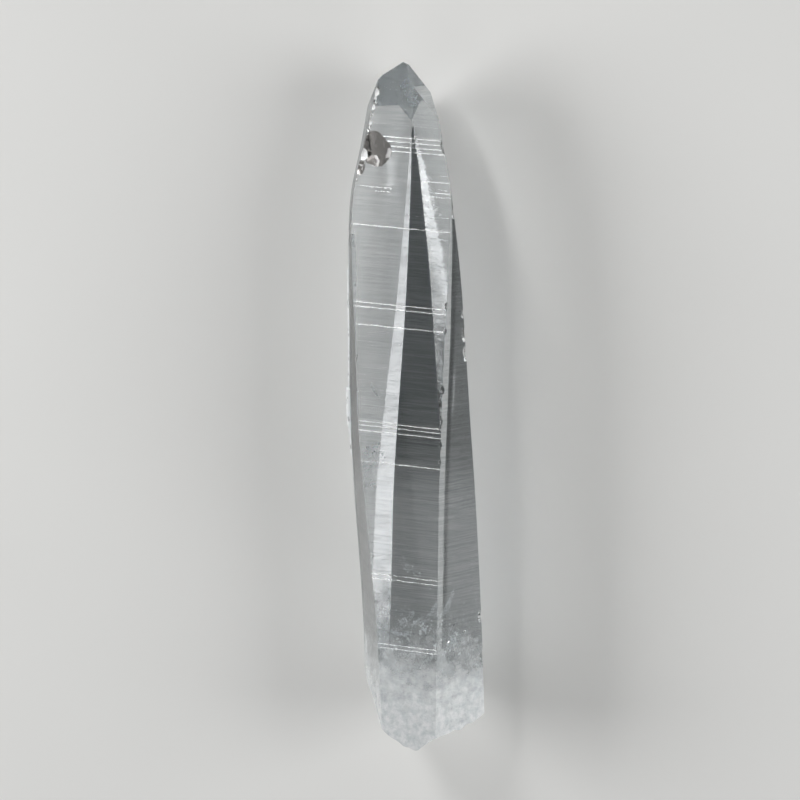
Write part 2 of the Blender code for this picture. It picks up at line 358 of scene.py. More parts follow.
        here = slope(i)
        start = here if i == 0 else 0.5 * (slope(i - 1) + here)
        end = here if i == last - 1 else 0.5 * (here + slope(i + 1))
        span = stations[i + 1] - stations[i]
        t = (along - stations[i]) / span
        return ((2 * t ** 3 - 3 * t ** 2 + 1) * values[i] + (t ** 3 - 2 * t ** 2 + t) * span * start
                + (3 * t ** 2 - 2 * t ** 3) * values[i + 1] + (t ** 3 - t ** 2) * span * end)

    def facet_reach(self, face: int, along: float) -> float:
        """Finds the reach of the facet that a face has at the point.

        Args:
            face: The face.
            along: Distance from the broken end, mm.

        Returns:
            Its distance from the axis, mm.
        """
        x, z = direction(face)
        reach = x * self.point[0] + z * self.point[2] + self.facet_stand_off[face]
        return reach + (self.point[1] - along) * math.tan(self.facet_angle)

    def plain_reach(self, face: int, along: float) -> float:
        """Reach of a face without ledges or striations, with the point's facet."""
        return min(self.smooth_reach(face, along), self.facet_reach(face, along))

    def section(self, along: float) -> "Section":
        """The crystal's section at a distance from the broken end, mm."""
        return Section(self, along)

    def depth_inside(self, point: Point) -> float:
        """Finds how deep a point lies.

        Args:
            point: The point, mm.

        Returns:
            Its distance from the nearest growth face in mm, negative outside.
        """
        x, along, z = point
        return min(self.plain_reach(face, along) - x * direction(face)[0] - z * direction(face)[1]
                   for face in Face)


class Section:
    """One section of the crystal across its axis.

    Args:
        habit: The crystal's form.
        along: Distance of the section from the broken end, mm.
    """

    def __init__(self, habit: Habit, along: float) -> None:
        """Works out the faces' reaches and which faces there are."""
        self.habit = habit
        self.along = along
        self.sides = [habit.smooth_reach(face, along) for face in Face]
        self.facets = [habit.facet_reach(face, along) for face in Face]
        self.edges = [(self.reach(face, 0.0), self.reach(face, 1.0)) for face in Face]
        self.live = self.live_faces()

    def reach(self, face: int, share: float) -> float:
        """Reach of a face at a share of its width, with all its steps."""
        return min(self.sides[face] + self.habit.steps[face].at(share, self.along), self.facets[face])

    def corner(self, before: int, after: int) -> Flat:
        """Corner (x, z) between the end of one face and the start of the next."""
        x, z = meeting_point(before, self.edges[before][1], after, self.edges[after][0])
        return x, max(z, -self.habit.axis_height)

    def live_faces(self) -> list[int]:
        """Finds which faces have not run out at this section.

        Returns:
            Those faces, in order round the axis.
        """
        live = list(range(6))
        while len(live) > 3:
            widths = []
            for i, face in enumerate(live):
                start = self.corner(live[i - 1], face)
                end = self.corner(face, live[(i + 1) % len(live)])
                x, z = direction(face)
                widths.append(((end[0] - start[0]) * z - (end[1] - start[1]) * x, face))
            width, face = min(widths)
            if width >= self.habit.narrowest_face:
                break
            live.remove(face)
        return live

    def columns(self, face: int, count: int) -> list[Flat]:
        """Finds the places of a face's columns of points.

        Args:
            face: The face.
            count: Number of columns.

        Returns:
            The places (x, z) in mm, all of them one corner if the face has run out.
        """
        before = max((f for f in self.live if f < face), default=max(self.live))
        after = min((f for f in self.live if f > face), default=min(self.live))
        if face not in self.live:
            return [self.corner(before, after)] * count
        start = self.corner(before, face)
        end = self.corner(face, after)
        out_x, out_z = direction(face)
        first, last = self.edges[face]
        places = [start]
        for step in range(1, count):
            share = step / count
            rise = self.reach(face, share) - (first + share * (last - first))
            places.append((start[0] + share * (end[0] - start[0]) + out_x * rise,
                           start[1] + share * (end[1] - start[1]) + out_z * rise))
        return places


@dataclass
class BreakSurface:
    """The broken end: shell-like hollows on a slope, longest under the top face. Sizes in mm.

    Attributes:
        habit: The crystal's form.
        start: Where the lowest place lies along the axis.
        rise_right: How far it rises to the right.
        right_from: Where that rise starts across the crystal.
        right_width: Width over which it rises.
        rise_left: How far it rises to the left.
        left_from: Where that rise starts across the crystal.
        left_width: Width over which it rises.
        left_limit: Where it ends, as a multiple of that width.
        left_power: How steeply it starts.
        rise_back: How far it rises to the back.
        back_power: How steeply that rise starts.
        blow_x: Where the blow fell on the top face, with the ripples round it.
        ripple: Height of the ripples.
        ripple_spacing: Their spacing.
        shelf_height: Height of the flat shelves.
        shelf_size: Their width.
        shelf_steepness: How sharply one shelf drops to the next.
        roughness: Height of the rough grain.
        grain: Its size.
        fine_ripple: Height of the fine ripples.
        fine_ripple_spacing: Their spacing.
        wander: How far they stray.
        wander_size: Length over which they stray.
        hackle: Height and size of each finer grain.
    """

    habit: Habit
    start: float = 0.345
    rise_right: float = 2.6
    right_from: float = 3.5
    right_width: float = 4.5
    rise_left: float = 2.6
    left_from: float = 4.2
    left_width: float = 5.6
    left_limit: float = 1.6
    left_power: float = 1.5
    rise_back: float = 7.0
    back_power: float = 2.2
    blow_x: float = 2.0
    ripple: float = 0.3
    ripple_spacing: float = 3.1
    shelf_height: float = 0.7
    shelf_size: float = 5.2
    shelf_steepness: float = 6.0
    roughness: float = 0.45
    grain: float = 2.1
    fine_ripple: float = 0.07
    fine_ripple_spacing: float = 0.95
    wander: float = 0.5
    wander_size: float = 2.0
    hackle: tuple[Flat, ...] = ((0.08, 0.6), (0.035, 0.25))

    def height(self, x: float, z: float) -> float:
        """Finds how far the break lies above its lowest place.

        Args:
            x: Place across the section, mm.
            z: Place up the section, mm.

        Returns:
            Distance along the axis, mm.
        """
        top = self.habit.reaches[Face.TOP][0]
        back = min(1.0, max(0.0, (top - z) / (top + self.habit.axis_height)))
        right = min(1.0, max(0.0, (x - self.right_from) / self.right_width))
        right = right * right * (3.0 - 2.0 * right)
        left = min(self.left_limit, max(0.0, (self.left_from - x) / self.left_width))
        left = left ** self.left_power
        distance = math.hypot(x - self.blow_x, z - top)
        ripple = self.ripple * math.sin(2.0 * math.pi * distance / self.ripple_spacing) * back
        distance += self.wander * noise.noise(Vector((x / self.wander_size, 5.1, z / self.wander_size)))
        ripple += self.fine_ripple * math.sin(2.0 * math.pi * distance / self.fine_ripple_spacing) * back
        shelf = noise.noise(Vector((x / self.shelf_size, 8.3, z / self.shelf_size)))
        shelf = self.shelf_height * back * math.tanh(self.shelf_steepness * shelf)
        grain = self.roughness * abs(noise.noise(Vector((x / self.grain, 3.7, z / self.grain))))
        for depth, size in self.hackle:
            grain += depth * abs(noise.noise(Vector((x / size, 1.7, z / size))))
        return (self.start + self.rise_right * right + self.rise_left * left
                + self.rise_back * back ** self.back_power + ripple + shelf + grain)


@dataclass(frozen=True)
class Chip:
    """A shell-shaped hollow knocked from an edge.

    Attributes:
        along: Distance from the broken end, mm.
        face_a: One face of the edge.
        face_b: The other face.
        onto_face: How far the hollow's middle lies on the first face from the edge, mm.
        radius: Radius of the hollow, mm.
        depth: Depth of the hollow below the edge, mm.
        skin: Material slot of the hollow.
    """

    along: float
    face_a: int
    face_b: int
    onto_face: float
    radius: float
    depth: float
    skin: int = Skin.CHIP


def new_object(name: str, mesh: bpy.types.Mesh) -> bpy.types.Object:
    """Adds a mesh to the scene.

    Args:
        name: Name of the object.
        mesh: Its mesh.

    Returns:
        The object.
    """
    thing = bpy.data.objects.new(name, mesh)
    bpy.context.collection.objects.link(thing)
    return thing


def mesh_from(bm: bmesh.types.BMesh, name: str) -> bpy.types.Object:
    """Turns a bmesh into an object, its faces pointing outwards.

    Args:
        bm: The bmesh, which is used up.
        name: Name of the object.

    Returns:
        The object.
    """
    bmesh.ops.recalc_face_normals(bm, faces=bm.faces)
    mesh = bpy.data.meshes.new(name)
    bm.to_mesh(mesh)
    bm.free()
    return new_object(name, mesh)


def add_quad(bm: bmesh.types.BMesh, corners: Sequence[bmesh.types.BMVert], skin: int) -> None:
    """Adds a quad, or the triangle that is left of it where two of its corners are one.

    Args:
        bm: The mesh.
        corners: The quad's corners.
        skin: Its material slot.
    """
    kept = [v for i, v in enumerate(corners) if v is not corners[i - 1]]
    if len(kept) > 2 and len(set(kept)) == len(kept):
        bm.faces.new(kept).material_index = skin


@dataclass
class CrystalSkin:
    """The fine mesh of the crystal: rings from the break's rim to the point, then the break.

    Attributes:
        habit: The crystal's form.
        surface: Its broken end.
        columns: Columns of points on each face.
        ring_spacing: Spacing of the rings, mm.
        break_zone_end: Where the rings, slanting at the break, have become flat, mm.
        rim_passes: Times that the rim is moved onto the break.
        table_step: Spacing of the flat rings that the slanting ones are read from, mm.
        ledge_clearance: How far other rings stay from a ledge's two, mm.
        point_gap: How far under the point the last ring lies, mm.
        milky_end: Where the milky finish ends, mm.
        cap_rings: Rings on the break.
    """

    habit: Habit
    surface: BreakSurface
    columns: tuple[int, ...] = (18, 8, 13, 7, 13, 8)
    ring_spacing: float = 0.105
    break_zone_end: float = 16.0
    rim_passes: int = 4
    table_step: float = 0.02
    ledge_clearance: float = 0.04
    point_gap: float = 0.3
    milky_end: float = 34.0
    cap_rings: int = 34

    def ring_at(self, along: float) -> list[Point]:
        """Points of one flat ring round the crystal, mm."""
        section = self.habit.section(along)
        return [(x, along, z) for face in Face for x, z in section.columns(face, self.columns[face])]

    def rings(self) -> list[list[Point]]:
        """Finds the rings from the break's rim to just under the point.

        Returns:
            The points of each ring, mm.
        """
        habit = self.habit
        count = sum(self.columns)
        rim = [self.surface.start] * count
        for _ in range(self.rim_passes):
            for i in range(count):
                x, _, z = self.ring_at(rim[i])[i]
                rim[i] = self.surface.height(x, z)
        rings = []
        zone = int(self.break_zone_end / self.ring_spacing)
        step = self.table_step
        flat = [self.ring_at(k * step) for k in range(int(self.break_zone_end / step) + 2)]
        for ring in range(zone):
            points = []
            for i, low in enumerate(rim):
                along = low + ring / zone * (self.break_zone_end - low)
                x, _, z = flat[int(along / step)][i]
                points.append((x, along, z))
            rings.append(points)
        last = habit.point[1] - self.point_gap
        heights = set(np.arange(self.break_zone_end, last, self.ring_spacing))
        for ledge in habit.strong_ledges + habit.faint_ledges:
            foot = ledge - GrowthSteps.RISER
            low, high = foot - self.ledge_clearance, ledge + self.ledge_clearance
            heights = {h for h in heights if not low < h < high}
            heights.update((foot, ledge))
        rings += [self.ring_at(along) for along in sorted(heights)]
        return rings

    def cap(self, rim: list[Point]) -> tuple[list[list[Point]], Point]:
        """Finds the points of the break.

        Args:
            rim: Its rim, mm.

        Returns:
            The rings from its rim to its middle, and the middle, mm.
        """
        centre_x = sum(p[0] for p in rim) / len(rim)
        centre_z = sum(p[2] for p in rim) / len(rim)
        rings = []
        for ring in range(1, self.cap_rings):
            share = 1.0 - ring / self.cap_rings
            points = []
            for x, _, z in rim:
                px = centre_x + share * (x - centre_x)
                pz = centre_z + share * (z - centre_z)
                points.append((px, self.surface.height(px, pz), pz))
            rings.append(points)
        return rings, (centre_x, self.surface.height(centre_x, centre_z), centre_z)

    def build(self) -> bpy.types.Object:
        """Makes the closed mesh of the body, point and break.

        Returns:
            The object, not yet chipped.
        """
        bm = bmesh.new()
        rings = self.rings()
        cap, middle = self.cap(rings[0])
        rows = []
        for ring in rings:
            row = []
            for i, point in enumerate(ring):
                same = i > 0 and point == ring[i - 1]
                row.append(row[-1] if same else bm.verts.new(self.habit.place(point)))
            rows.append(row)
        count = len(rows[0])
        # The face that the crystal lies on takes the slot whose tint carries painted shade.
        clear = [Skin.RESTING if face == Face.BOTTOM else Skin.GROWTH
                 for face in Face for _ in range(self.columns[face])]
        for ring, lower, upper in zip(rings, rows, rows[1:]):
            milky = ring[0][1] < self.milky_end
            for i in range(count):
                j = (i + 1) % count
                finish = Skin.MILKY if milky else clear[i]
                add_quad(bm, (lower[i], upper[i], upper[j], lower[j]), finish)
        tip = bm.verts.new(self.habit.place(self.habit.point))
        for i in range(count):
            add_quad(bm, (rows[-1][i], tip, tip, rows[-1][(i + 1) % count]), Skin.GROWTH)
        inner = [rows[0]] + [[bm.verts.new(self.habit.place(p)) for p in ring] for ring in cap]
        for outer, inside in zip(inner, inner[1:]):
            for i in range(count):
                j = (i + 1) % count
                add_quad(bm, (outer[i], outer[j], inside[j], inside[i]), Skin.BREAK)
        centre = bm.verts.new(self.habit.place(middle))
        for i in range(count):
            add_quad(bm, (inner[-1][i], inner[-1][(i + 1) % count], centre, centre), Skin.BREAK)
        return mesh_from(bm, "crystal_skin")


@dataclass
class ChippedEdges:
    """Hollows along the edges, rippled like a shell round the blow that made them. Sizes in mm.

    Attributes:
        habit: The crystal's form.
        chips: The hollows.
        stretch_along: How much longer a hollow is along the crystal.
        waviness: How far its outline strays, as a share of its radius.
        wave_rate: How quickly it strays round the hollow.
        blow_inwards: How far inwards the blow fell, as a share of the radius.
        blow_ahead: How far towards the point it fell, as a share of the radius.
        ripple_spacing: Spacing of the ripples.
        ripple_depth: Their depth.
        ripple_wander: How far they stray, as a share of their spacing.
        wander_rate: How quickly they stray, per mm.
        fine_from_radius: Radius from which a hollow gets a finer mesh.
    """

    habit: Habit
    chips: tuple[Chip, ...] = (
        Chip(102.4, Face.TOP, Face.LEFT, 0.5, 1.1, 0.32, Skin.DUSKY_CHIP),
        Chip(102.2, Face.TOP, Face.LEFT, 0.0, 0.6, 0.42, Skin.CRUSHED),
        Chip(101.2, Face.TOP, Face.LEFT, 0.0, 0.4, 0.3, Skin.CRUSHED),
        Chip(100.6, Face.TOP, Face.LEFT, 0.1, 0.9, 0.35),
        Chip(98.9, Face.TOP, Face.LEFT, 0.0, 0.7, 0.28),
        Chip(99.9, Face.TOP, Face.LEFT, 0.0, 0.45, 0.34, Skin.CRUSHED),
        Chip(97.4, Face.TOP, Face.LEFT, 0.0, 0.42, 0.34, Skin.CRUSHED),
        Chip(96.9, Face.TOP, Face.LEFT, 0.1, 1.0, 0.35),
        Chip(94.0, Face.TOP, Face.LEFT, 3.98, 5.1, 2.2, Skin.DUSKY_CHIP),
        Chip(91.0, Face.TOP, Face.LEFT, 0.3, 1.5, 0.5, Skin.DUSKY_CHIP),
        Chip(92.6, Face.TOP, Face.LEFT, 0.1, 0.8, 0.75, Skin.CRUSHED),
        Chip(90.9, Face.TOP, Face.LEFT, -0.1, 0.55, 0.5, Skin.CRUSHED),
        Chip(88.9, Face.TOP, Face.LEFT, 0.0, 0.6, 0.2),
        Chip(95.3, Face.TOP, Face.RIGHT_REAR, 0.0, 1.4, 0.4),
        Chip(85.0, Face.RIGHT, Face.RIGHT_REAR, 0.0, 0.8, 0.3),
        Chip(84.5, Face.RIGHT, Face.RIGHT_REAR, 0.2, 0.36, 0.3, Skin.CRUSHED),
        Chip(80.0, Face.LEFT, Face.LEFT_REAR, 0.0, 0.7, 0.25),
        Chip(71.0, Face.TOP, Face.RIGHT, 0.0, 0.8, 0.22),
        Chip(69.5, Face.RIGHT, Face.RIGHT_REAR, 0.0, 0.8, 0.3),
        Chip(69.1, Face.RIGHT, Face.RIGHT_REAR, 0.2, 0.32, 0.26, Skin.CRUSHED),
        Chip(67.2, Face.TOP, Face.RIGHT, 0.0, 0.7, 0.2),
        Chip(66.4, Face.RIGHT, Face.RIGHT_REAR, 0.2, 1.2, 0.4),
        Chip(65.6, Face.RIGHT, Face.RIGHT_REAR, 0.3, 0.5, 0.32, Skin.CRUSHED),
        Chip(63.4, Face.RIGHT, Face.RIGHT_REAR, 0.1, 1.4, 0.4),
        Chip(62.4, Face.RIGHT, Face.RIGHT_REAR, 0.3, 0.45, 0.3, Skin.CRUSHED),
        Chip(62.0, Face.TOP, Face.LEFT, 0.0, 0.8, 0.25),
        Chip(58.3, Face.TOP, Face.RIGHT, 0.0, 0.9, 0.25),
        Chip(53.2, Face.TOP, Face.RIGHT, 0.0, 0.7, 0.2),
        Chip(49.6, Face.TOP, Face.RIGHT, 0.0, 0.8, 0.22),
        Chip(46.9, Face.TOP, Face.RIGHT, 0.0, 0.6, 0.2),
        Chip(21.0, Face.RIGHT, Face.RIGHT_REAR, 0.2, 1.5, 0.4),
        Chip(14.5, Face.RIGHT, Face.RIGHT_REAR, 0.2, 1.5, 0.4),
        Chip(11.2, Face.BOTTOM, Face.LEFT_REAR, 0.4, 2.4, 0.6, Skin.BREAK),
    )
    stretch_along: float = 1.25
    waviness: float = 0.12
    wave_rate: float = 1.7
    blow_inwards: float = 0.5
    blow_ahead: float = 0.9
    ripple_spacing: float = 0.45
    ripple_depth: float = 0.03
    ripple_wander: float = 0.5
    wander_rate: float = 0.9
    fine_from_radius: float = 1.1

    def centre(self, chip: Chip) -> tuple[Flat, Flat]:
        """Finds a hollow's middle and the way out of the crystal there.

        Args:
            chip: The hollow.

        Returns:
            The middle (x, z) in mm and the outward direction (x, z).
        """
        reach_a = self.habit.plain_reach(chip.face_a, chip.along)
        reach_b = self.habit.plain_reach(chip.face_b, chip.along)
        edge = meeting_point(chip.face_a, reach_a, chip.face_b, reach_b)
        a, b = Vector(direction(chip.face_a)), Vector(direction(chip.face_b))
        out = (a + b).normalized()
        onto = (a - b).normalized()
        middle = Vector(edge) + out * (chip.radius - chip.depth) + onto * chip.onto_face
        return (middle.x, middle.y), (out.x, out.y)

    def cutter(self, number: int, chip: Chip) -> bpy.types.Object:
        """Makes the ball that cuts one hollow, wavy and rippled round the blow.

        Args:
            number: Its number, which sets its waves.
            chip: The hollow.

        Returns:
            The ball.
        """
        (x, z), (out_x, out_z) = self.centre(chip)
        blow = Vector((x - self.blow_inwards * out_x * chip.radius,
                       chip.along + self.blow_ahead * chip.radius,
                       z - self.blow_inwards * out_z * chip.radius))
        bm = bmesh.new()
        fine = 5 if chip.radius > self.fine_from_radius else 4
        bmesh.ops.create_icosphere(bm, subdivisions=fine, radius=1.0)
        for vertex in bm.verts:
            away = vertex.co.copy()
            outline = noise.noise(away * self.wave_rate + Vector((number * 3.1, 0.0, 0.0)))
            wave = 1.0 + self.waviness * outline
            away.y *= self.stretch_along
            spot = Vector((x, chip.along, z)) + away * chip.radius * wave
            distance = (spot - blow).length / self.ripple_spacing
            distance += self.ripple_wander * noise.noise(spot * self.wander_rate)
            ripple = self.ripple_depth * math.sin(2.0 * math.pi * distance)
            spot += vertex.co * ripple * min(1.0, chip.radius)
            vertex.co = self.habit.place(tuple(spot))
        for face in bm.faces:
            face.material_index = chip.skin
        return mesh_from(bm, f"chip_{number:02d}")

    def cutters(self) -> list[bpy.types.Object]:
        """Makes every cutter."""
        return [self.cutter(number, chip) for number, chip in enumerate(self.chips)]


@dataclass(frozen=True)
class GrowthPlate:
    """A thin parallel crystal grown along the left rear edge. Sizes in mm.

    Attributes:
        name: Its name.
        start: Where it starts, from the broken end.
        end: Where it ends.
        reach: Distance of its faces from its own axis.
        offset: Its axis from the edge (x, z).
        taper_end: Length over which its end narrows.
        taper_start: Length over which its start narrows.
        start_share: Its size at its start, as a share.
        end_share: Its size at its end, as a share.
        step: Spacing of its rings.
        step_depth: Depth of its growth steps.
        step_length: Length of its growth steps.
    """

    name: str
    start: float
    end: float
    reach: float
    offset: Flat
    taper_end: float
    taper_start: float = 9.0
    start_share: float = 0.35
    end_share: float = 0.5
    step: float = 0.22
    step_depth: float = 0.05
    step_length: float = 0.8

    def build(self, habit: Habit) -> bpy.types.Object:
        """Makes the plate as a closed six-sided rod with small steps.

        Args:
            habit: The crystal's form.

        Returns:
            The plate.
        """
        bm = bmesh.new()
        rows = []
        count = int((self.end - self.start) / self.step)
        for k in range(count + 1):
            along = self.start + (self.end - self.start) * k / count
            fade_in = min(1.0, (along - self.start) / self.taper_start)
            fade_out = min(1.0, (self.end - along) / self.taper_end)
            size = self.reach * (self.start_share + (1.0 - self.start_share) * fade_in)
            size *= self.end_share + (1.0 - self.end_share) * fade_out
            steps = noise.noise(Vector((along / self.step_length, self.reach, 2.2)))
            size -= self.step_depth * abs(steps)
            edge = meeting_point(Face.LEFT_REAR, habit.plain_reach(Face.LEFT_REAR, along),
                                 Face.LEFT, habit.plain_reach(Face.LEFT, along))
            x = edge[0] + self.offset[0] + 0.5 * (self.reach - size)
            z = edge[1] + self.offset[1]
            row = []
            for face in Face:
                cx, cz = meeting_point(face, size, (face + 1) % 6, size)
                row.append(bm.verts.new(habit.place((x + cx, along, z + cz))))
            rows.append(row)
        for lower, upper in zip(rows, rows[1:]):
            for i in range(6):
                j = (i + 1) % 6
                add_quad(bm, (lower[i], upper[i], upper[j], lower[j]), Skin.PLATE)
        bm.faces.new(rows[0]).material_index = Skin.PLATE
        bm.faces.new(rows[-1]).material_index = Skin.PLATE
        return mesh_from(bm, "growth_plate_" + self.name)


PLATES = (
    GrowthPlate("long", 36.0, 80.0, 1.15, (0.79, -0.95), 6.0),
    GrowthPlate("short", 40.5, 55.7, 1.5, (0.74, -1.2), 0.4),
)


def carve(body: bpy.types.Object, plates: Sequence[bpy.types.Object],
          hollows: Sequence[bpy.types.Object]) -> None:
    """Joins plates to the body, cuts the hollows and leaves one plain closed mesh.

    Args:
        body: The crystal's mesh.
        plates: Solids to join.
        hollows: Solids to cut away.
    """
    tools = [(thing, 'UNION') for thing in plates] + [(thing, 'DIFFERENCE') for thing in hollows]
    for thing, operation in tools:
        cut = body.modifiers.new(thing.name, 'BOOLEAN')
        cut.operation = operation
        cut.solver = 'MANIFOLD'
        cut.object = thing
    evaluated = body.evaluated_get(bpy.context.evaluated_depsgraph_get())
    mesh = bpy.data.meshes.new_from_object(evaluated)
    body.modifiers.clear()
    old = body.data
    body.data = mesh
    bpy.data.meshes.remove(old)
    for thing, _ in tools:
        spent = thing.data
        bpy.data.objects.remove(thing, do_unlink=True)
        bpy.data.meshes.remove(spent)


def shade(body: bpy.types.Object, limits: dict[int, float]) -> None:
    """Smooths the faces and marks sharp edges.

    Args:
        body: The crystal.
        limits: For each slot, the angle in degrees from which an edge is sharp.
    """
    bm = bmesh.new()
    bm.from_mesh(body.data)
    for face in bm.faces:
        face.smooth = True
    for edge in bm.edges:
        one, other = edge.link_faces
        skin = one.material_index
        same = skin == other.material_index or {skin, other.material_index} <= GROWN_SKINS
        limit = math.radians(limits.get(skin, limits[Skin.GROWTH]))
        edge.smooth = same and edge.calc_face_angle(0.0) < limit
    bm.to_mesh(body.data)
    bm.free()


def add_node(tree: bpy.types.NodeTree, kind: str, settings: dict[str, object],
             inputs: dict[str, object]) -> bpy.types.Node:
    """Adds one node with its settings, values and links.

    Args:
        tree: The material's node tree.
        kind: Type name of the node.
        settings: Its properties.
        inputs: A value or another node's socket for each of its inputs.

    Returns:
        The node.
    """
    node = tree.nodes.new(kind)
    for key, value in settings.items():
        setattr(node, key, value)
    for key, value in inputs.items():
        if isinstance(value, bpy.types.NodeSocket):
            tree.links.new(value, node.inputs[key])
        else:
            node.inputs[key].default_value = value
    return node


def new_material(name: str) -> tuple[bpy.types.Material, bpy.types.NodeTree, bpy.types.Node]:
    """Makes a new material.

    Args:
        name: Its name.

    Returns:
        The material, its node tree and its shader.
    """
    material = bpy.data.materials.new(name)
    material.use_nodes = True
    return material, material.node_tree, material.node_tree.nodes["Principled BSDF"]


def stretched_noise(tree: bpy.types.NodeTree, spacing_mm: Point, detail: float,
                    roughness: float = 0.5) -> bpy.types.NodeSocket:
    """Adds noise in the object's own coordinates.

    Args:
        tree: The material's node tree.
        spacing_mm: Size of its grains along x, y and z, mm.
        detail: How many finer layers it has.
        roughness: How strong they are.

    Returns:
        The noise, from 0 to 1.
    """
    place = add_node(tree, 'ShaderNodeTexCoord', {}, {}).outputs["Object"]
    scale = tuple(1.0 / (size * MM) for size in spacing_mm)
    scaled = add_node(tree, 'ShaderNodeMapping', {}, {"Vector": place, "Scale": scale})
    grain = add_node(tree, 'ShaderNodeTexNoise', {},
                     {"Vector": scaled.outputs["Vector"], "Scale": 1.0, "Detail": detail,
                      "Roughness": roughness})
    return grain.outputs["Fac"]


def mottled(name: str, dark: str, light: str, size_mm: float, roughness: float) -> bpy.types.Material:
    """Makes an opaque finish that wavers between two colours.

    Args:
        name: Its name.
        dark: sRGB hex colour of the darker patches.
        light: sRGB hex colour of the lighter ones.
        size_mm: Size of the patches.
        roughness: Its roughness.

    Returns:
        The material.
    """
    material, tree, shader = new_material(name)
    mottle = stretched_noise(tree, (size_mm,) * 3, 2.0)
    blend = add_node(tree, 'ShaderNodeMix', {'data_type': 'RGBA'},
                     {0: mottle, 6: linear(dark), 7: linear(light)})
    tree.links.new(blend.outputs[2], shader.inputs["Base Color"])
    shader.inputs["Roughness"].default_value = roughness
    return material


def rise_along(tree: bpy.types.NodeTree, start_y: float, range_mm: Flat) -> bpy.types.NodeSocket:
    """Adds a share that rises smoothly along the crystal.

    Args:
        tree: The material's node tree.
        start_y: Where the broken end is, metres.
        range_mm: Distances from it at which the share is 0 and 1, mm.

    Returns:
        The share.
    """
    place = add_node(tree, 'ShaderNodeTexCoord', {}, {}).outputs["Object"]
    along = add_node(tree, 'ShaderNodeSeparateXYZ', {}, {"Vector": place}).outputs["Y"]
    none, full = (start_y + value * MM for value in range_mm)
    return add_node(tree, 'ShaderNodeMapRange', {'interpolation_type': 'SMOOTHSTEP'},
                    {"Value": along, "From Min": none, "From Max": full}).outputs["Result"]


@dataclass(frozen=True)
class GrownQuartz:
    """Clear rock crystal as it grew: glassy faces with growth lines finer than the mesh.

    The eye sees the floor and the lamps bent through it, a faint cool grey where it is thick, and
    a silky shimmer of lines across it: the lines are bumped, and the same lines are painted lighter
    and darker into the tint as painted highlight and painted shade. Real striations lie some 0.05 mm
    apart, a third of what the picture can show, so they are drawn 0.2 mm apart.

    Attributes:
        name: Name of the material.
        roughness: A natural face is a little less than polished.
        line_spacing_mm: Size of the lines along x, y and z.
        line_depth_mm: Depth of the lines.
        painted_highlight_tint: sRGB hex colour of the lightest lines, a painted highlight.
        painted_line_shade_tint: sRGB hex colour of the darkest lines, painted shade.
        painted_line_shade_tint: sRGB hex colour of the deepest.
        ior: Index of refraction of quartz.
    """

    name: str = "rock_crystal_natural_growth_face"
    roughness: float = 0.012
    line_spacing_mm: Point = (9.0, 0.2, 9.0)
    line_depth_mm: float = 0.01
    painted_highlight_tint: str = "#f0f2f3"
    painted_line_shade_tint: str = "#cacfd1"
    ior: float = QUARTZ_IOR

    def material(self) -> bpy.types.Material:
        """Makes the finish.

        Returns:
            The material.
        """
        material, tree, shader = new_material(self.name)
        shader.inputs["Roughness"].default_value = self.roughness
        shader.inputs["IOR"].default_value = self.ior
        shader.inputs["Transmission Weight"].default_value = 1.0
        lines = stretched_noise(tree, self.line_spacing_mm, 2.0)
        share = add_node(tree, 'ShaderNodeMapRange', {},
                         {"Value": lines, "From Min": 0.35, "From Max": 0.65}).outputs["Result"]
        # The striation lines painted into the tint: the lighter ones are painted highlight, the darker
        # ones painted shade.
        tint = add_node(tree, 'ShaderNodeMix', {'data_type': 'RGBA'},
                        {0: share, 6: linear(self.painted_line_shade_tint), 7: linear(self.painted_highlight_tint)})
        tree.links.new(tint.outputs[2], shader.inputs["Base Color"])
        relief = add_node(tree, 'ShaderNodeBump', {},
                          {"Height": lines, "Strength": 1.0, "Distance": self.line_depth_mm * MM})
        tree.links.new(relief.outputs["Normal"], shader.inputs["Normal"])
        return material

    def tint(self, material: bpy.types.Material) -> bpy.types.NodeSocket:
        """The colour that a material of this finish has on its shader."""
        shader = material.node_tree.nodes["Principled BSDF"]
        return shader.inputs["Base Color"].links[0].from_socket


@dataclass(frozen=True)
class BrokenQuartz:
    """Quartz where it broke: glassy or crushed shell-like surfaces.

    The glassy ones bend the light in curves. The crushed ones scatter it and look white. Their
    grain, in truth as fine as dust, is drawn 0.12 to 0.5 mm across so that it shows.

    Attributes:
        name: Name of the material.
        tint: sRGB hex colour.
        clearness: Share of light that passes.
        roughness: Least roughness.
        roughness_spread: How much rougher the dullest patches are.
        grain_mm: Size of the grain.
        depth_mm: Depth of the grain.
        patch_grains: Size of the dull patches, in grains.
        ior: Index of refraction of quartz.
    """

    name: str
    tint: str
    clearness: float
    roughness: float
    roughness_spread: float
    grain_mm: float
    depth_mm: float
    patch_grains: float = 5.0
    ior: float = QUARTZ_IOR

    def material(self) -> bpy.types.Material:
        """Makes the finish.

        Returns:
            The material.
        """
        material, tree, shader = new_material(self.name)
        shader.inputs["Base Color"].default_value = linear(self.tint)
        shader.inputs["IOR"].default_value = self.ior
        shader.inputs["Transmission Weight"].default_value = self.clearness
        grain = stretched_noise(tree, (self.grain_mm,) * 3, 4.0, 0.6)
        patches = stretched_noise(tree, (self.grain_mm * self.patch_grains,) * 3, 2.0)
        rough = add_node(tree, 'ShaderNodeMapRange', {},
                         {"Value": patches, "From Min": 0.3, "From Max": 0.7, "To Min": self.roughness,
                          "To Max": self.roughness + self.roughness_spread})
        tree.links.new(rough.outputs["Result"], shader.inputs["Roughness"])
        bump = add_node(tree, 'ShaderNodeBump', {},
                        {"Height": grain, "Strength": 1.0, "Distance": self.depth_mm * MM})
        tree.links.new(bump.outputs["Normal"], shader.inputs["Normal"])
        return material


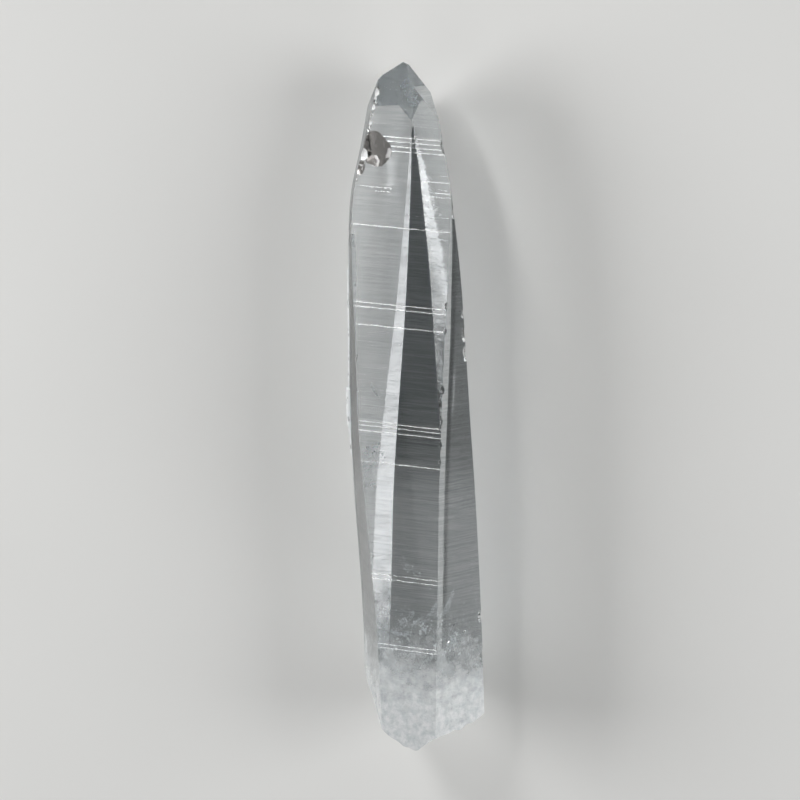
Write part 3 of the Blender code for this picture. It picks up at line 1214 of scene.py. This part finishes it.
@dataclass(frozen=True)
class MilkyEndQuartz:
    """Growth faces over the milky end: clear like the rest, then clouded in soft patches.

    The eye sees clear quartz turn to white grains, with grey between them where it looks deeper.

    Attributes:
        name: Name of the material.
        white: sRGB hex colour of the clouded share where it is densest.
        thin_white: Its colour where the grains are few.
        grain_mm: Size of the grains.
        clouded_along_mm: Where the clouding has faded and where it is full, from the broken end.
        fullest: Greatest share of light that the clouding stops.
        roughness: Added roughness where it is clouded.
        patch_mm: Size of the patches.
        body: The finish of the clear faces.
    """

    name: str = "milky_rock_crystal_growth_face"
    white: str = "#fbfcfc"
    thin_white: str = "#cdd3d6"
    grain_mm: float = 1.3
    clouded_along_mm: Flat = (28.0, 1.0)
    fullest: float = 0.56
    roughness: float = 0.2
    patch_mm: float = 2.2
    body: GrownQuartz = GrownQuartz()

    def material(self, start_y: float) -> bpy.types.Material:
        """Makes the finish.

        Args:
            start_y: Where the broken end is, metres.

        Returns:
            The material.
        """
        material = self.body.material()
        material.name = self.name
        tree = material.node_tree
        shader = tree.nodes["Principled BSDF"]
        nearness = rise_along(tree, start_y, self.clouded_along_mm)
        patches = stretched_noise(tree, (self.patch_mm,) * 3, 5.0, 0.65)
        both = add_node(tree, 'ShaderNodeMath', {'operation': 'ADD'},
                        {0: nearness, 1: patches}).outputs["Value"]
        cloud = add_node(tree, 'ShaderNodeMapRange', {'interpolation_type': 'SMOOTHSTEP'},
                         {"Value": both, "From Min": 0.6, "From Max": 1.5}).outputs["Result"]
        grains = stretched_noise(tree, (self.grain_mm,) * 3, 6.0, 0.78)
        density = add_node(tree, 'ShaderNodeMapRange', {},
                           {"Value": grains, "From Min": 0.36, "From Max": 0.6}).outputs["Result"]
        whites = add_node(tree, 'ShaderNodeMix', {'data_type': 'RGBA'},
                          {0: density, 6: linear(self.thin_white), 7: linear(self.white)}).outputs[2]
        blend = add_node(tree, 'ShaderNodeMix', {'data_type': 'RGBA'},
                         {0: cloud, 6: self.body.tint(material), 7: whites})
        tree.links.new(blend.outputs[2], shader.inputs["Base Color"])
        clear = add_node(tree, 'ShaderNodeMapRange', {},
                         {"Value": cloud, "To Min": 1.0, "To Max": 1.0 - self.fullest})
        rough = add_node(tree, 'ShaderNodeMapRange', {},
                         {"Value": cloud, "To Min": self.body.roughness,
                          "To Max": self.body.roughness + self.roughness})
        tree.links.new(clear.outputs["Result"], shader.inputs["Transmission Weight"])
        tree.links.new(rough.outputs["Result"], shader.inputs["Roughness"])
        return material


@dataclass(frozen=True)
class PaintedShadeRestingFaceQuartz:
    """The narrow face that the crystal lies on: grown like the rest, with painted shade in its tint.

    Seen through it, the long wedge under the wide face is the dark band that the eye finds first; that
    dark is painted shade multiplied into the tint, not a colour of the quartz.

    Attributes:
        name: Name of the material.
        painted_shade_colour: sRGB hex colour of the painted shade that the clear faces' tint is
            multiplied by.
        painted_shade_along_mm: Where the painted shade starts and where it is full, from the broken end.
        body: The finish of the clear faces.
    """

    name: str = "rock_crystal_resting_face_painted_shade"
    painted_shade_colour: str = "#a0a4a6"
    painted_shade_along_mm: Flat = (35.0, 47.0)
    body: GrownQuartz = GrownQuartz()

    def material(self, start_y: float) -> bpy.types.Material:
        """Makes the finish.

        Args:
            start_y: Where the broken end is, metres.

        Returns:
            The material.
        """
        material = self.body.material()
        material.name = self.name
        tree = material.node_tree
        share = rise_along(tree, start_y, self.painted_shade_along_mm)
        # Painted shade: the tint is multiplied darker along the face that the crystal lies on.
        deeper = add_node(tree, 'ShaderNodeMix', {'data_type': 'RGBA', 'blend_type': 'MULTIPLY'},
                          {0: share, 6: self.body.tint(material), 7: linear(self.painted_shade_colour)})
        tree.links.new(deeper.outputs[2], tree.nodes["Principled BSDF"].inputs["Base Color"])
        return material


@dataclass(frozen=True)
class FluidSpeck:
    """Tiny pockets of trapped fluid and healed cracks, too small to see into: they look white.

    Real ones are a few hundredths of a mm across, so fewer and larger ones are drawn.

    Attributes:
        name: Name of the material.
        white: sRGB hex colour of the lighter grains.
        grey: sRGB hex colour of the darker ones.
        roughness: Their dull surface.
        grain_mm: Size of the grains.
    """

    name: str = "white_fluid_inclusion_speck"
    white: str = "#f7f9fa"
    grey: str = "#e2e8ea"
    roughness: float = 0.35
    grain_mm: float = 0.12

    def material(self) -> bpy.types.Material:
        """Makes the finish."""
        return mottled(self.name, self.grey, self.white, self.grain_mm, self.roughness)


@dataclass(frozen=True)
class CrackGap:
    """Wall of a thin gap in the quartz: quite clear, so its far side flashes by total reflection.

    Attributes:
        name: Name of the material.
        clear: sRGB hex colour, which takes nothing from the light.
        ior: Index of refraction of quartz.
        roughness: A fresh crack is nearly polished.
    """

    name: str = "rock_crystal_inner_crack_wall"
    clear: str = "#ffffff"
    ior: float = QUARTZ_IOR
    roughness: float = 0.04

    def material(self) -> bpy.types.Material:
        """Makes the finish.

        Returns:
            The material.
        """
        material, _, shader = new_material(self.name)
        shader.inputs["Base Color"].default_value = linear(self.clear)
        shader.inputs["Roughness"].default_value = self.roughness
        shader.inputs["IOR"].default_value = self.ior
        shader.inputs["Transmission Weight"].default_value = 1.0
        return material


@dataclass(frozen=True)
class PaleCard:
    """Matte pale card, as a plain studio floor: even, with a hardly visible mottle.

    Attributes:
        name: Name of the material.
        light: sRGB hex colour of the lighter patches.
        dark: sRGB hex colour of the darker ones.
        roughness: Card is matte.
        mottle_mm: Size of the patches.
    """

    name: str = "matte_pale_card"
    light: str = "#dadad8"
    dark: str = "#d4d4d2"
    roughness: float = 0.9
    mottle_mm: float = 60.0

    def material(self) -> bpy.types.Material:
        """Makes the finish."""
        return mottled(self.name, self.dark, self.light, self.mottle_mm, self.roughness)


@dataclass(frozen=True)
class Veil:
    """A bent sheet of specks left by a healed crack. Sizes in mm.

    Attributes:
        centre: Its middle.
        tilt: Its normal.
        size: Half its length and half its width.
        specks: Number of specks.
        bend: How far it bows at its ends.
        largest: Size of its largest specks.
    """

    centre: Point
    tilt: Point
    size: Flat
    specks: int
    bend: float = 0.8
    largest: float = 0.11


@dataclass(frozen=True)
class Crack:
    """A thin lens-shaped gap inside the crystal, which flashes like silver. Sizes in mm.

    Attributes:
        centre: Its middle.
        tilt: Its normal.
        radius: Its radius.
        gap: Its thickness in the middle.
        raggedness: How far its outline strays, as a share of its radius.
        outline_rate: How quickly it strays round the crack.
        bow: How far it bows, as a share of its radius.
        narrowness: Its width as a share of its length.
        spokes: Corners of its outline.
        rings: Rings on each of its sides.
    """

    centre: Point
    tilt: Point
    radius: float
    gap: float = 0.03
    raggedness: float = 1.3
    outline_rate: float = 3.5
    bow: float = 0.1
    narrowness: float = 0.6
    spokes: int = 11
    rings: int = 2


@dataclass
class Inclusions:
    """What is trapped in the crystal: the milky cloud, veils and thin cracks. Sizes in mm.

    Attributes:
        habit: The crystal's form.
        surface: Its broken end.
        seed: Seed of the random draws.
        margin: Least depth under the surface.
        cloud_specks: Number of specks in the cloud.
        cloud_depths: Shares of them, each with its mean distance from the break.
        cloud_half_width: Half the width over which they are drawn.
        cloud_heights: Heights between which they are drawn.
        cloud_patch: Size of the cloud's patches.
        finer_patch: Size of a finer layer of patches, as a share of that.
        finer_strength: Strength of that layer.
        cloud_limit: Least value of the patches' noise for a speck at the break.
        cloud_thinning: How much the limit rises per mm from the break.
        cloud_softness: How much it varies from draw to draw.
        speck_sizes: Least and greatest size of the cloud's specks.
        least_share: Smallest speck of a veil, as a share of its largest.
        flatness: Thickness of a speck, as a share of its size.
        corner_stretch: Least and greatest distance of its corners from its middle.
        veil_tries: Most draws for each speck of a veil.
        veil_clumps: How closely its specks gather in clumps.
        veil_twist: How far a veil twists, as a share of its bend.
        veil_thickness: Its thickness, as a share of its bend.
        veils: The veils.
        cracks: The cracks.
    """

    habit: Habit
    surface: BreakSurface
    seed: int = 21
    margin: float = 0.22
    cloud_specks: int = 34000
    cloud_depths: tuple[tuple[float, float], ...] = ((0.62, 1.6), (0.28, 5.0), (0.10, 11.0))
    cloud_half_width: float = 12.5
    cloud_heights: Flat = (-7.0, 11.0)
    cloud_patch: float = 2.6
    finer_patch: float = 0.3
    finer_strength: float = 0.6
    cloud_limit: float = -0.35
    cloud_thinning: float = 0.035
    cloud_softness: float = 0.4
    speck_sizes: Flat = (0.04, 0.15)
    least_share: float = 0.4
    flatness: float = 0.4
    corner_stretch: Flat = (0.7, 1.3)
    veil_tries: int = 30
    veil_clumps: float = 3.0
    veil_twist: float = 0.5
    veil_thickness: float = 0.05
    veils: tuple[Veil, ...] = (
        Veil((5.4, 22.5, 6.6), (-0.55, 0.6, 0.6), (4.2, 1.5), 900, 0.9),
        Veil((3.0, 14.5, 6.5), (-0.3, 0.8, 0.5), (4.0, 2.4), 900),
        Veil((-1.0, 18.5, 7.5), (0.2, 0.9, -0.3), (3.6, 2.0), 700),
        Veil((6.5, 17.5, 4.5), (0.8, 0.3, 0.5), (3.0, 1.8), 700),
        Veil((1.0, 20.5, 8.2), (-0.5, 0.5, 0.7), (2.6, 0.9), 420, 0.5, 0.1),
        Veil((6.8, 17.0, 6.0), (-0.4, 0.5, 0.8), (2.4, 1.3), 40, 0.5, 0.62),
        Veil((4.2, 19.8, 7.6), (0.3, 0.6, 0.7), (1.8, 0.8), 22, 0.3, 0.45),
        Veil((0.6, 17.4, 8.6), (-0.2, 0.5, 0.8), (2.6, 0.9), 30, 0.3, 0.42),
        Veil((2.4, 12.5, 8.6), (0.2, -0.5, 0.8), (2.8, 1.4), 36, 0.3, 0.5),
        Veil((-5.0, 44.5, 8.4), (0.6, 0.1, 0.8), (2.8, 0.9), 320, 0.4, 0.09),
        Veil((-4.9, 56.8, 8.9), (0.3, 0.7, 0.6), (1.3, 0.3), 120, 0.2, 0.08),
        Veil((1.5, 29.0, 7.5), (0.1, 0.9, 0.4), (3.2, 1.0), 220),
        Veil((-2.5, 103.8, 5.3), (0.1, 0.1, 1.0), (1.0, 0.5), 300, 0.1, 0.06),
        Veil((-1.9, 102.8, 5.3), (0.1, 0.0, 1.0), (1.0, 0.6), 360, 0.1, 0.06),
        Veil((-1.3, 101.8, 5.3), (0.1, 0.0, 1.0), (1.0, 0.6), 360, 0.1, 0.06),
        Veil((-0.9, 100.9, 5.3), (0.1, 0.0, 1.0), (0.8, 0.4), 140, 0.1, 0.06),
        Veil((-5.0, 45.6, 8.7), (0.5, 0.15, 0.8), (2.6, 0.9), 500, 0.4, 0.12),
        Veil((-5.1, 47.6, 8.9), (0.5, 0.2, 0.8), (1.6, 0.7), 26, 0.3, 0.38),
        Veil((-4.8, 42.4, 8.6), (0.4, -0.2, 0.8), (1.4, 0.8), 18, 0.3, 0.34),
    )
    cracks: tuple[Crack, ...] = (
        Crack((6.4, 17.3, 6.6), (-0.5, 0.5, 0.8), 0.62),
        Crack((7.3, 16.2, 5.6), (-0.4, 0.6, 0.7), 0.7),
        Crack((7.9, 15.4, 4.6), (0.5, -0.4, 0.8), 0.5),
        Crack((5.2, 15.4, 7.4), (-0.3, -0.7, 0.8), 0.45),
        Crack((8.3, 18.6, 3.8), (0.2, 0.8, 0.6), 0.5),
        Crack((6.9, 19.9, 5.4), (-0.6, 0.3, 0.8), 0.4),
        Crack((1.5, 14.6, 8.0), (0.4, 0.6, 0.8), 0.35),
        Crack((-0.6, 18.4, 7.2), (-0.2, 0.7, 0.7), 0.4),
    )

    def is_inside(self, point: Point) -> bool:
        """Whether a point is well inside the crystal."""
        return (self.habit.depth_inside(point) > self.margin
                and point[1] > self.surface.height(point[0], point[2]) + self.margin)

    def cloud(self, chance: random.Random) -> list[Point]:
        """Draws the cloud's specks, densest against the break and patchy further in.

        Args:
            chance: Source of the random draws.

        Returns:
            Their places, mm.
        """
        places = []
        half = self.cloud_half_width
        while len(places) < self.cloud_specks:
            x, z = chance.uniform(-half, half), chance.uniform(*self.cloud_heights)
            pick = chance.random()
            for share, depth in self.cloud_depths:
                if pick < share:
                    break
                pick -= share
            along = self.surface.height(x, z) + chance.expovariate(1.0 / depth)
            size = self.cloud_patch
            patch = noise.noise(Vector((x, along * 0.8, z)) / size)
            finer = noise.noise(Vector((x, along, z + 40.0)) / (self.finer_patch * size))
            patch += self.finer_strength * finer
            limit = self.cloud_limit + self.cloud_thinning * along
            limit += self.cloud_softness * (chance.random() - 0.5)
            if patch > limit and self.is_inside((x, along, z)):
                places.append((x, along, z))
        return places

    def veil(self, veil: Veil, chance: random.Random) -> list[Point]:
        """Draws the specks of one veil.

        Args:
            veil: The veil.
            chance: Source of the random draws.

        Returns:
            Their places, mm.
        """
        normal = Vector(veil.tilt).normalized()
        long_way = normal.orthogonal().normalized()
        short_way = normal.cross(long_way)
        places = []
        for _ in range(veil.specks * self.veil_tries):
            if len(places) == veil.specks:
                break
            u, v = chance.uniform(-1.0, 1.0), chance.uniform(-1.0, 1.0)
            if u * u + v * v > 1.0:
                continue
            clump = noise.noise(Vector((u * self.veil_clumps, v * self.veil_clumps, veil.centre[1])))
            if clump < 0.5 * (chance.random() - 0.6):
                continue
            bow = u * u + self.veil_twist * u * v + self.veil_thickness * chance.gauss(0.0, 1.0)
            spot = (Vector(veil.centre) + long_way * u * veil.size[0] + short_way * v * veil.size[1]
                    + normal * veil.bend * bow)
            if self.is_inside(tuple(spot)):
                places.append(tuple(spot))
        return places

    def specks(self, name: str, places: Sequence[Point], sizes: Sequence[float],
               chance: random.Random) -> bpy.types.Object:
        """Makes closed four-sided flakes at the places given.

        Args:
            name: Name of the object.
            places: Their places, mm.
            sizes: Their sizes, mm.
            chance: Source of their directions.

        Returns:
            One mesh object of them all.
        """
        draw = np.random.default_rng(chance.randrange(10 ** 6))
        count = len(places)
        shape = np.array([(1, 1, 1), (1, -1, -1), (-1, 1, -1), (-1, -1, 1)], dtype=float)
        turns = draw.normal(size=(count, 3, 3))
        first = turns[:, 0] / np.linalg.norm(turns[:, 0], axis=1, keepdims=True)
        second = np.cross(first, turns[:, 1])
        second /= np.linalg.norm(second, axis=1, keepdims=True)
        third = np.cross(first, second) * self.flatness
        stretch = draw.uniform(*self.corner_stretch, size=(count, 4, 1))
        local = np.einsum('kj,njc->nkc', shape, np.stack([first, second, third], axis=1)) * stretch
        world = np.array([self.habit.place(p) for p in places])
        vertices = world[:, None] + local * (np.array(sizes)[:, None, None] * 0.5 * MM)
        corners = np.array([(0, 1, 2), (0, 3, 1), (0, 2, 3), (1, 3, 2)])
        faces = (np.arange(count)[:, None, None] * 4 + corners).reshape(-1, 3)
        mesh = bpy.data.meshes.new(name)
        mesh.from_pydata(vertices.reshape(-1, 3).tolist(), [], faces.tolist())
        return new_object(name, mesh)

    def crack_mesh(self, crack: Crack, number: int, bm: bmesh.types.BMesh) -> None:
        """Adds one lens-shaped gap, with a ragged outline and a shell-like bow.

        Args:
            crack: The crack.
            number: Its number, which sets its outline.
            bm: The mesh that it is added to.
        """
        normal = Vector(crack.tilt).normalized()
        across = normal.orthogonal().normalized()
        other = normal.cross(across)

        def spot(ring: int, spoke: int, side: float) -> bmesh.types.BMVert:
            """Adds a point of one side of the gap.

            Args:
                ring: Its ring, counted from the middle.
                spoke: Its place round the ring.
                side: 1 or -1 for the two sides, 0 for the rim.

            Returns:
                The point.
            """
            angle = 2.0 * math.pi * spoke / crack.spokes
            cos, sin = math.cos(angle), math.sin(angle)
            rate = crack.outline_rate
            ragged = noise.noise(Vector((cos * rate, sin * rate, number * 5.0)))
            share = ring / crack.rings
            radius = crack.radius * share * (1.0 + crack.raggedness * ragged)
            bow = crack.bow * crack.radius * share * math.sin(2.0 * angle + number)
            place = (Vector(crack.centre) + across * radius * cos
                     + other * crack.narrowness * radius * sin
                     + normal * (bow + side * 0.5 * crack.gap * (1.0 - share ** 2)))
            return bm.verts.new(self.habit.place(tuple(place)))

        spokes = range(crack.spokes)
        rim = [spot(crack.rings, k, 0.0) for k in spokes]
        for side in (-1.0, 1.0):
            rows = [[spot(ring, k, side) for k in spokes] for ring in range(1, crack.rings)] + [rim]
            middle = spot(0, 0, side)
            for k in spokes:
                j = (k + 1) % crack.spokes
                bm.faces.new((middle, rows[0][k], rows[0][j]))
                for inner, outer in zip(rows, rows[1:]):
                    bm.faces.new((inner[k], outer[k], outer[j], inner[j]))

    def build(self) -> tuple[bpy.types.Object, bpy.types.Object]:
        """Makes the specks and the cracks with their finishes.

        Returns:
            The specks and the cracks.
        """
        chance = random.Random(self.seed)
        places = self.cloud(chance)
        sizes = [chance.uniform(*self.speck_sizes) for _ in places]
        for veil in self.veils:
            spots = self.veil(veil, chance)
            places += spots
            sizes += [veil.largest * (self.least_share + (1.0 - self.least_share) * chance.random())
                      for _ in spots]
        specks = self.specks("fluid_inclusion_specks", places, sizes, chance)
        specks.data.materials.append(FluidSpeck().material())
        bm = bmesh.new()
        for number, crack in enumerate(self.cracks):
            self.crack_mesh(crack, number, bm)
        cracks = mesh_from(bm, "silvery_cracks")
        # A crack holds air inside quartz, so its faces point into it.
        cracks.data.flip_normals()
        cracks.data.materials.append(CrackGap().material())
        return specks, cracks


@dataclass(frozen=True)
class Softbox:
    """A rectangular studio lamp. Sizes in metres.

    Attributes:
        name: Name of the lamp.
        place: Where it hangs.
        size: Width and height.
        watts: Power.
        aim: What it points at.
        colour: sRGB hex colour.
    """

    name: str
    place: Point
    size: Flat
    watts: float
    aim: Point = (0.0, 0.0, 0.0)
    colour: str = "#ffffff"

    def hang(self) -> None:
        """Adds the lamp to the scene."""
        lamp = bpy.data.lights.new(self.name, 'AREA')
        lamp.shape = 'RECTANGLE'
        lamp.size, lamp.size_y = self.size
        lamp.energy = self.watts
        lamp.color = linear(self.colour)[:3]
        thing = bpy.data.objects.new(self.name, lamp)
        bpy.context.collection.objects.link(thing)
        away = Vector(self.place) - Vector(self.aim)
        thing.location = self.place
        thing.rotation_euler = away.to_track_quat('Z', 'Y').to_euler()


@dataclass
class Studio:
    """Pale floor, soft lamps and the camera. Sizes in metres.

    Attributes:
        softboxes: The lamps.
        floor_size: Width of the floor.
        floor_gap: How far the floor lies under the crystal.
        world_grey: sRGB hex colour of the room.
        world_strength: Its brightness.
        bounces: How often light may bounce, so that it gets through the quartz and its specks.
        lean: How far the camera stands round towards the crystal's point.
        turn: How far it stands round to the right.
        roll: How far it is turned about its own axis.
        look_at: What it looks at.
        distance: Its distance from there.
        lens: Its focal length, mm.
        sensor: Width of its sensor, mm.
        nearest: Nearest distance that it sees.
        frame_shift: Shift of the picture across and up, in pixels over its width of 800.
    """

    softboxes: tuple[Softbox, ...] = (
        Softbox("left_softbox", (-0.6, 0.05, 0.32), (0.45, 0.3), 3.7),
        Softbox("right_softbox", (0.6, 0.1, 0.3), (0.3, 0.3), 2.7),
        Softbox("low_softbox", (0.45, -0.45, 0.1), (0.4, 0.15), 1.9),
        Softbox("strip_softbox", (-0.28, 0.62, 0.4), (0.09, 0.7), 3.0),
        Softbox("overhead_softbox", (-0.2, -0.31, 0.59), (0.34, 0.3), 0.32),
    )
    floor_size: float = 6.0
    floor_gap: float = 0.02 * MM
    world_grey: str = "#bcbcbc"
    world_strength: float = 0.045
    bounces: int = 32
    lean: float = math.radians(14.0)
    turn: float = math.radians(18.0)
    roll: float = math.radians(1.7)
    look_at: Point = (-0.00035, 0.0, 0.008)
    distance: float = 0.55
    lens: float = 160.0
    sensor: float = 36.0
    nearest: float = 0.01
    frame_shift: Flat = (-21.0 / 800.0, 2.0 / 800.0)

    def lay_floor(self) -> None:
        """Adds the floor a hair under the crystal."""
        half = 0.5 * self.floor_size
        corners = [(x * half, y * half, -self.floor_gap)
                   for x, y in ((-1.0, -1.0), (1.0, -1.0), (1.0, 1.0), (-1.0, 1.0))]
        mesh = bpy.data.meshes.new("floor")
        mesh.from_pydata(corners, [], [(0, 1, 2, 3)])
        mesh.materials.append(PaleCard().material())
        new_object("floor", mesh)

    def light(self) -> None:
        """Hangs the lamps and sets the room's dim grey."""
        for softbox in self.softboxes:
            softbox.hang()
        world = bpy.data.worlds.new("studio_room")
        world.use_nodes = True
        background = world.node_tree.nodes["Background"]
        background.inputs["Color"].default_value = linear(self.world_grey)
        background.inputs["Strength"].default_value = self.world_strength
        scene = bpy.context.scene
        scene.world = world
        scene.view_settings.view_transform = 'Standard'
        scene.cycles.max_bounces = self.bounces
        scene.cycles.glossy_bounces = self.bounces
        scene.cycles.transmission_bounces = self.bounces

    def set_camera(self) -> None:
        """Puts the camera where the photograph was taken from."""
        towards = Vector((math.sin(self.turn) * math.cos(self.lean), math.sin(self.lean),
                          math.cos(self.turn) * math.cos(self.lean)))
        right = Vector((0.0, 1.0, 0.0)).cross(towards).normalized()
        up = towards.cross(right)
        cos, sin = math.cos(self.roll), math.sin(self.roll)
        rolled_right = right * cos + up * sin
        rolled_up = up * cos - right * sin
        camera = bpy.data.cameras.new("camera")
        camera.lens = self.lens
        camera.sensor_width = self.sensor
        camera.shift_x, camera.shift_y = self.frame_shift
        camera.clip_start = self.nearest
        thing = bpy.data.objects.new("camera", camera)
        bpy.context.collection.objects.link(thing)
        turned = Matrix((rolled_right, rolled_up, towards)).transposed().to_4x4()
        thing.matrix_world = Matrix.Translation(Vector(self.look_at) + towards * self.distance) @ turned
        bpy.context.scene.camera = thing


FINISHES = {
    Skin.GROWTH: GrownQuartz(),
    Skin.CHIP: BrokenQuartz("rock_crystal_shell_like_chip", "#e2e2e1", 1.0, 0.03, 0.05, 0.25, 0.006),
    Skin.BREAK: BrokenQuartz("milky_rock_crystal_rough_break", "#f5f8f9", 0.3, 0.25, 0.3, 0.5, 0.09),
    Skin.PLATE: BrokenQuartz("frosted_rock_crystal_plate", "#f2f5f6", 0.5, 0.25, 0.15, 0.3, 0.02),
    Skin.DUSKY_CHIP: BrokenQuartz("rock_crystal_dusky_chip", "#5f5a57", 1.0, 0.05, 0.1, 0.25, 0.01),
    Skin.CRUSHED: BrokenQuartz("crushed_rock_crystal_edge", "#fafbfb", 0.35, 0.35, 0.2, 0.12, 0.03),
}

ALONG_FINISHES = {Skin.MILKY: MilkyEndQuartz(), Skin.RESTING: PaintedShadeRestingFaceQuartz()}

SHARP_FROM_DEGREES = {Skin.GROWTH: 5.0, Skin.CHIP: 50.0, Skin.BREAK: 40.0, Skin.PLATE: 12.0,
                      Skin.CRUSHED: 40.0, Skin.DUSKY_CHIP: 50.0}


def main() -> None:
    """Builds the crystal and its studio."""
    logging.basicConfig(level=logging.INFO)
    habit = Habit()
    habit.move_into(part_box(NODE))
    skin = CrystalSkin(habit, BreakSurface(habit))
    thing = skin.build()
    start_y = habit.place((0.0, 0.0, 0.0)).y
    for slot in Skin:
        if slot in ALONG_FINISHES:
            thing.data.materials.append(ALONG_FINISHES[slot].material(start_y))
        else:
            thing.data.materials.append(FINISHES[slot].material())
    carve(thing, [plate.build(habit) for plate in PLATES], ChippedEdges(habit).cutters())
    shade(thing, SHARP_FROM_DEGREES)
    specks, cracks = Inclusions(habit, skin.surface).build()
    for piece in (thing, specks, cracks):
        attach(piece, BODY)
        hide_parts(NODE)
        logging.info("%s: %d faces", piece.name, len(piece.data.polygons))
    studio = Studio()
    studio.lay_floor()
    studio.light()
    studio.set_camera()


if __name__ == "__main__":
    main()
